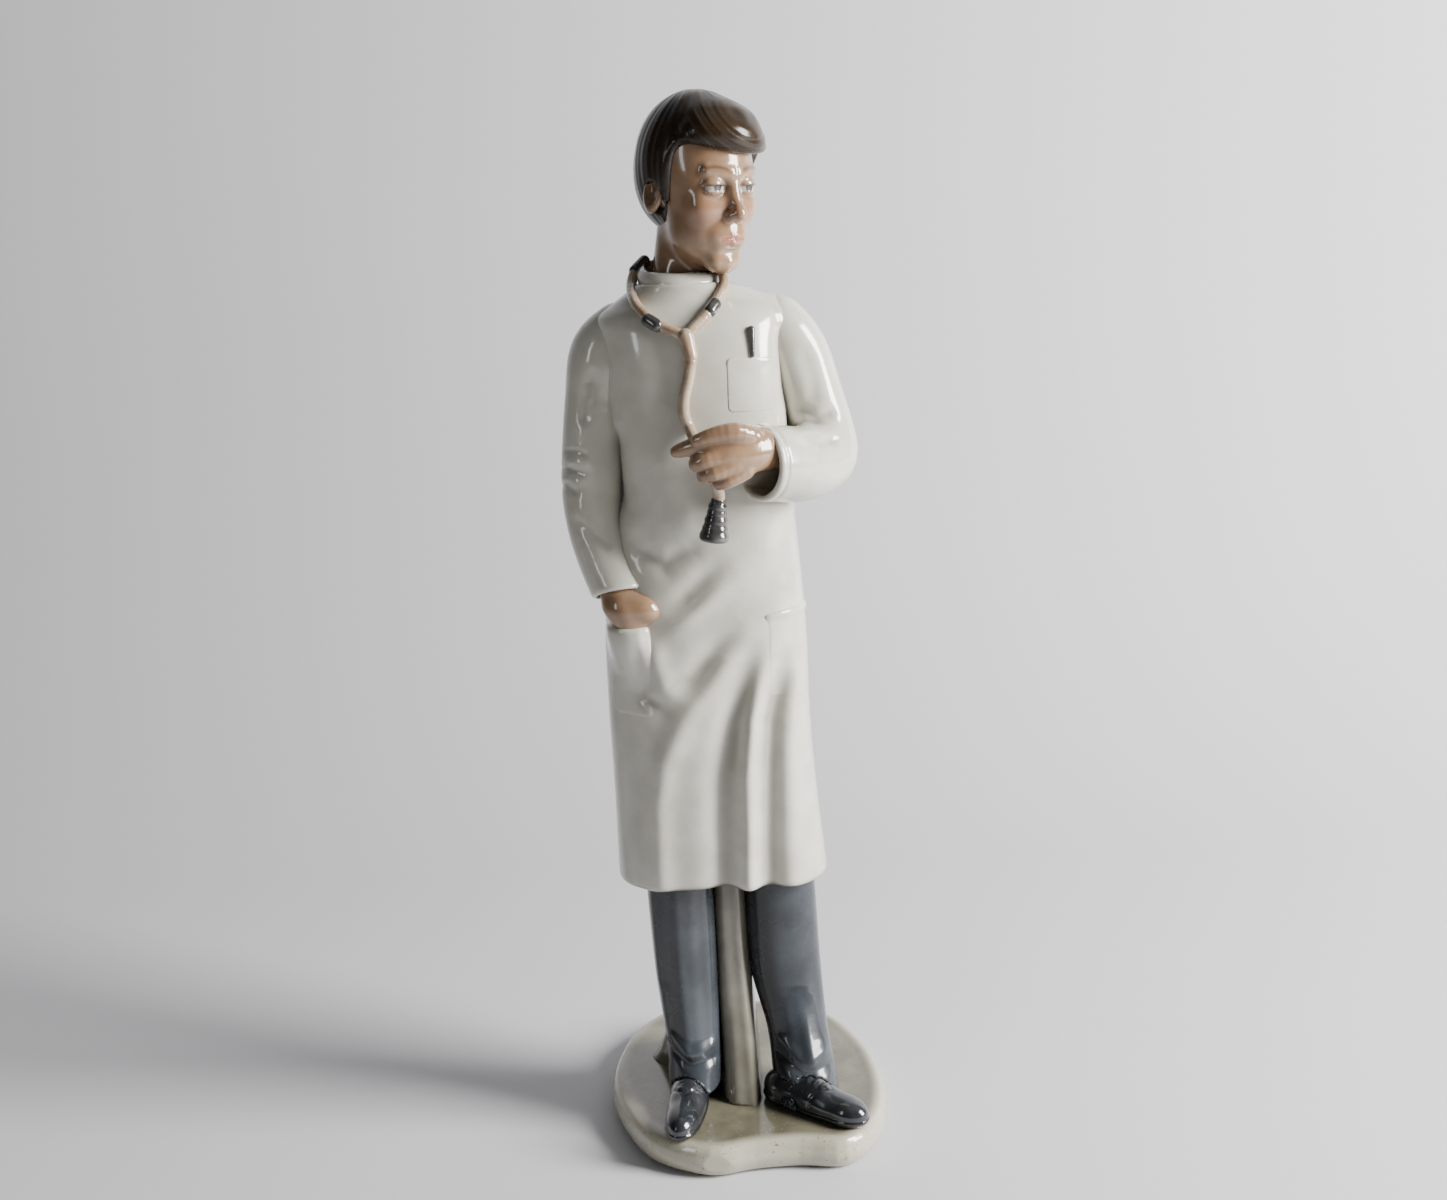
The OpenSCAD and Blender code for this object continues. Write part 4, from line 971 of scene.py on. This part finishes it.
def laid(points, lift, surface=None):
    """Points (x, z) dropped from the front on to a surface, then lifted off it."""
    surface = surface or coat_front
    out = []
    for x, z in points:
        y = np.linspace(-60.0, 5.0, 521, dtype=np.float32)
        line = np.stack([np.full_like(y, x), y, np.full_like(y, z)], 1)
        hit = np.argmax(surface(line) < 0)
        out.append((x, float(y[hit]) - lift, z))
    return out


def coat_front(p):
    return union(coat_shell(p), collar_form(p))


def rod(points, radii):
    """Field of a round rod through points, with its radius along the way."""
    radii = np.interp(np.linspace(0, 1, len(points)), np.linspace(0, 1, len(radii)), radii)
    stations = [(*point, r) for point, r in zip(points, radii)]

    def field(p):
        return limb(p, stations, 4, 0.2)

    return field


# Middle lines of the stethoscope: from the yoke up round the neck on both sides, and down to the bell
YOKE_AT = laid([(-10, 309)], 2.0)[0]
EAR_RIGHT = ([YOKE_AT] + laid([(-15, 311.3), (-20.5, 314), (-25, 317.6), (-28, 321.4)], 1.4)
             + [(-29.2, -3.5, 326.5), (-27.8, 2.0, 331.5), (-24.5, 6.0, 335.0)])
EAR_LEFT = ([YOKE_AT] + laid([(-6, 312.8), (-1.6, 317.0), (1.8, 321.5)], 1.5)
            + [(4.2, -11.5, 326.5), (3.4, -7.5, 331.0), (1.6, -1.0, 334.5)])
TUBE_UPPER = ([YOKE_AT] + laid([(-8.4, 302), (-9.4, 295), (-11.2, 288), (-11.5, 282), (-9.8, 277)], 1.8)
              + [(-7.0, -38.0, 271.0)])
TUBE_LOWER = [(-3.0, -40.0, 263.0), (-1.2, -38.0, 259.0), (-0.3, -35.5, 255.0), (-0.5, -34.5, 251.0)]
BELL_TOP = np.array([-0.5, -34.5, 253.0])
BELL_LOW = np.array([-2.8, -34.0, 237.6])


def bell_form(p):
    """Chest piece: a ribbed cone that widens to a rounded rim."""
    axis = (BELL_LOW - BELL_TOP) / np.linalg.norm(BELL_LOW - BELL_TOP)
    along = (p - BELL_TOP) @ axis
    around = length(p - BELL_TOP - along[:, None] * axis)
    size = np.linalg.norm(BELL_LOW - BELL_TOP)
    profile = [(0, 2.5), (2.2, 2.9), (2.8, 3.3), (6, 3.5), (6.8, 3.9), (10, 4.3), (12, 4.9), (14.5, 5.5),
               (size, 5.2)]
    radius = np.interp(along, *zip(*profile))
    ribs = 0.10 * np.cos(along * 2.4)
    side = (around - radius - ribs) * 0.93
    return common(common(side, -along, 0.8), along - size, 1.4)


# ---------------------------------------------------------------- all the pieces

def span(*boxes, pad=3.0):
    low = np.min([b[0] for b in boxes], axis=0) - pad
    high = np.max([b[1] for b in boxes], axis=0) + pad
    shift = np.array([0.0, FIGURE_Y, 0.0])
    return low - shift, high - shift


def make(node, field, cell, material, paint=None, outer=None):
    low, high = span(node_box(node), pad=16.0)
    return sculpt(node, field, low, high, cell, material, paint, outer)


make("base_plinth", plinth_form, 1.0, plinth_glaze, plinth_paint)
make("support_post", post_form, 0.9, post_glaze, post_paint)
make("shoe_right", shoe_right_form, 0.6, shoe_glaze, shoe_paint)
make("shoe_left", shoe_left_form, 0.6, shoe_glaze, shoe_paint)
make("trouser_leg_right", leg_right_form, 0.8, trouser_glaze, leg_right_paint)
make("trouser_leg_left", leg_left_form, 0.8, trouser_glaze, leg_left_paint)
make("coat_body", coat_form, 0.9, white, None, coat_shell)
make("coat_collar", collar_form, 0.6, white)
make("sleeve_right", sleeve_right_form, 0.8, white)
make("sleeve_left", sleeve_left_form, 0.8, white)
make("hand_right", hand_right_form, 0.55, skin)
make("hand_left", hand_left_form, 0.45, skin)
make("hip_pocket_right", hip_pocket_right_form, 0.6, white, None, coat_shell)
make("hip_pocket_left", hip_pocket_left_form, 0.6, white, None, coat_shell)
make("breast_pocket", breast_pocket_form, 0.5, white, None, coat_shell)
make("pen", rod(laid([(13, 310.3), (13.1, 306.5), (13.2, 301.5)], 0.6), [1.5, 1.1, 0.8]), 0.3, dark_glaze)
make("head", head_form, 0.5, skin, head_paint)
make("hair", hair_form, 0.5, hair_glaze, hair_paint)
make("ear_tube_right", rod(EAR_RIGHT, [1.9, 1.9]), 0.45, tube_glaze)
make("ear_tube_left", rod(EAR_LEFT, [1.9, 1.9]), 0.45, tube_glaze)
make("stethoscope_yoke", rod([YOKE_AT, TUBE_UPPER[1]], [2.9, 2.3]), 0.35, tube_glaze)
make("stethoscope_tube_upper", rod(TUBE_UPPER, [2.0, 2.0]), 0.45, tube_glaze)
make("stethoscope_tube_lower", rod(TUBE_LOWER, [2.0, 2.1]), 0.45, tube_glaze)
make("chest_piece", bell_form, 0.4, dark_glaze)


def tips_form(p):
    return union(rod(EAR_RIGHT[-2:], [2.4, 2.2])(p), rod(EAR_LEFT[-2:], [2.4, 2.2])(p))


def bands_form(p):
    return union(rod(laid([(-20, 313.0), (-23, 314.9)], 1.6), [2.4, 2.4])(p),
                 rod(laid([(-1.2, 317.3), (0.6, 319.5)], 1.7), [2.3, 2.3])(p))


make("ear_tips", tips_form, 0.4, dark_glaze)
make("tube_bands", bands_form, 0.35, dark_glaze)


# ---------------------------------------------------------------- floor, lights and camera

def plain_material(name, tone):
    material = bpy.data.materials.new(name)
    material.use_nodes = True
    tree = material.node_tree
    shader = tree.nodes["Principled BSDF"]
    pale = tuple(min(1.0, c * 1.04) for c in tone)
    tree.links.new(mix_color(tree, noise(tree, 6.0), tone, pale), shader.inputs["Base Color"])
    shader.inputs["Roughness"].default_value = 0.85
    return material


def backdrop():
    """Pale floor that curves up into a wall behind the figure."""
    profile = [(-3.0, 0.0), (0.25, 0.0)]
    for i in range(1, 13):
        a = math.radians(i * 7.5)
        profile.append((0.25 + 0.35 * math.sin(a), 0.35 - 0.35 * math.cos(a)))
    profile.append((0.6, 3.0))
    verts = [(x, y, z) for y, z in profile for x in (-3.5, 3.5)]
    faces = [(2 * i, 2 * i + 1, 2 * i + 3, 2 * i + 2) for i in range(len(profile) - 1)]
    mesh = bpy.data.meshes.new("backdrop")
    mesh.from_pydata(verts, [], faces)
    for polygon in mesh.polygons:
        polygon.use_smooth = True
    mesh.materials.append(plain_material("backdrop_cloth", (0.54, 0.54, 0.56)))
    cloth = bpy.data.objects.new("backdrop", mesh)
    bpy.context.scene.collection.objects.link(cloth)


def area_light(name, place, aim, size, power, tone):
    light = bpy.data.lights.new(name, "AREA")
    light.shape = "RECTANGLE"
    light.size, light.size_y = size
    light.energy = power
    light.color = tone
    lamp = bpy.data.objects.new(name, light)
    lamp.location = place
    lamp.rotation_mode = "QUATERNION"
    lamp.rotation_quaternion = (Vector(place) - Vector(aim)).to_track_quat("Z", "Y")
    bpy.context.scene.collection.objects.link(lamp)


backdrop()
area_light("window", (1.15, -0.34, 0.66), (0, 0, 0.2), (0.45, 0.8), 70.0, (1.0, 0.99, 0.97))
area_light("far_window", (-0.8, -0.75, 0.6), (0, 0, 0.25), (0.12, 0.5), 1.2, (0.95, 0.98, 1.0))
area_light("ceiling", (0.3, 0.1, 1.5), (0, 0.1, 0.1), (1.4, 1.2), 1.4, (1.0, 1.0, 1.0))

world = bpy.data.worlds.new("room")
world.use_nodes = True
world.node_tree.nodes["Background"].inputs["Color"].default_value = (0.62, 0.64, 0.67, 1.0)
world.node_tree.nodes["Background"].inputs["Strength"].default_value = 0.05
bpy.context.scene.world = world

camera_data = bpy.data.cameras.new("camera")
camera_data.lens = 40.25
camera_data.sensor_width = 36.0
camera = bpy.data.objects.new("camera", camera_data)
camera.location = (0.0, -0.603, 0.340)
camera.rotation_mode = "QUATERNION"
camera.rotation_quaternion = (Matrix.Rotation(math.radians(90.0 - 12.4), 3, "X")
                              @ Matrix.Rotation(math.radians(-2.0), 3, "Z")).to_quaternion()
bpy.context.scene.collection.objects.link(camera)
bpy.context.scene.camera = camera
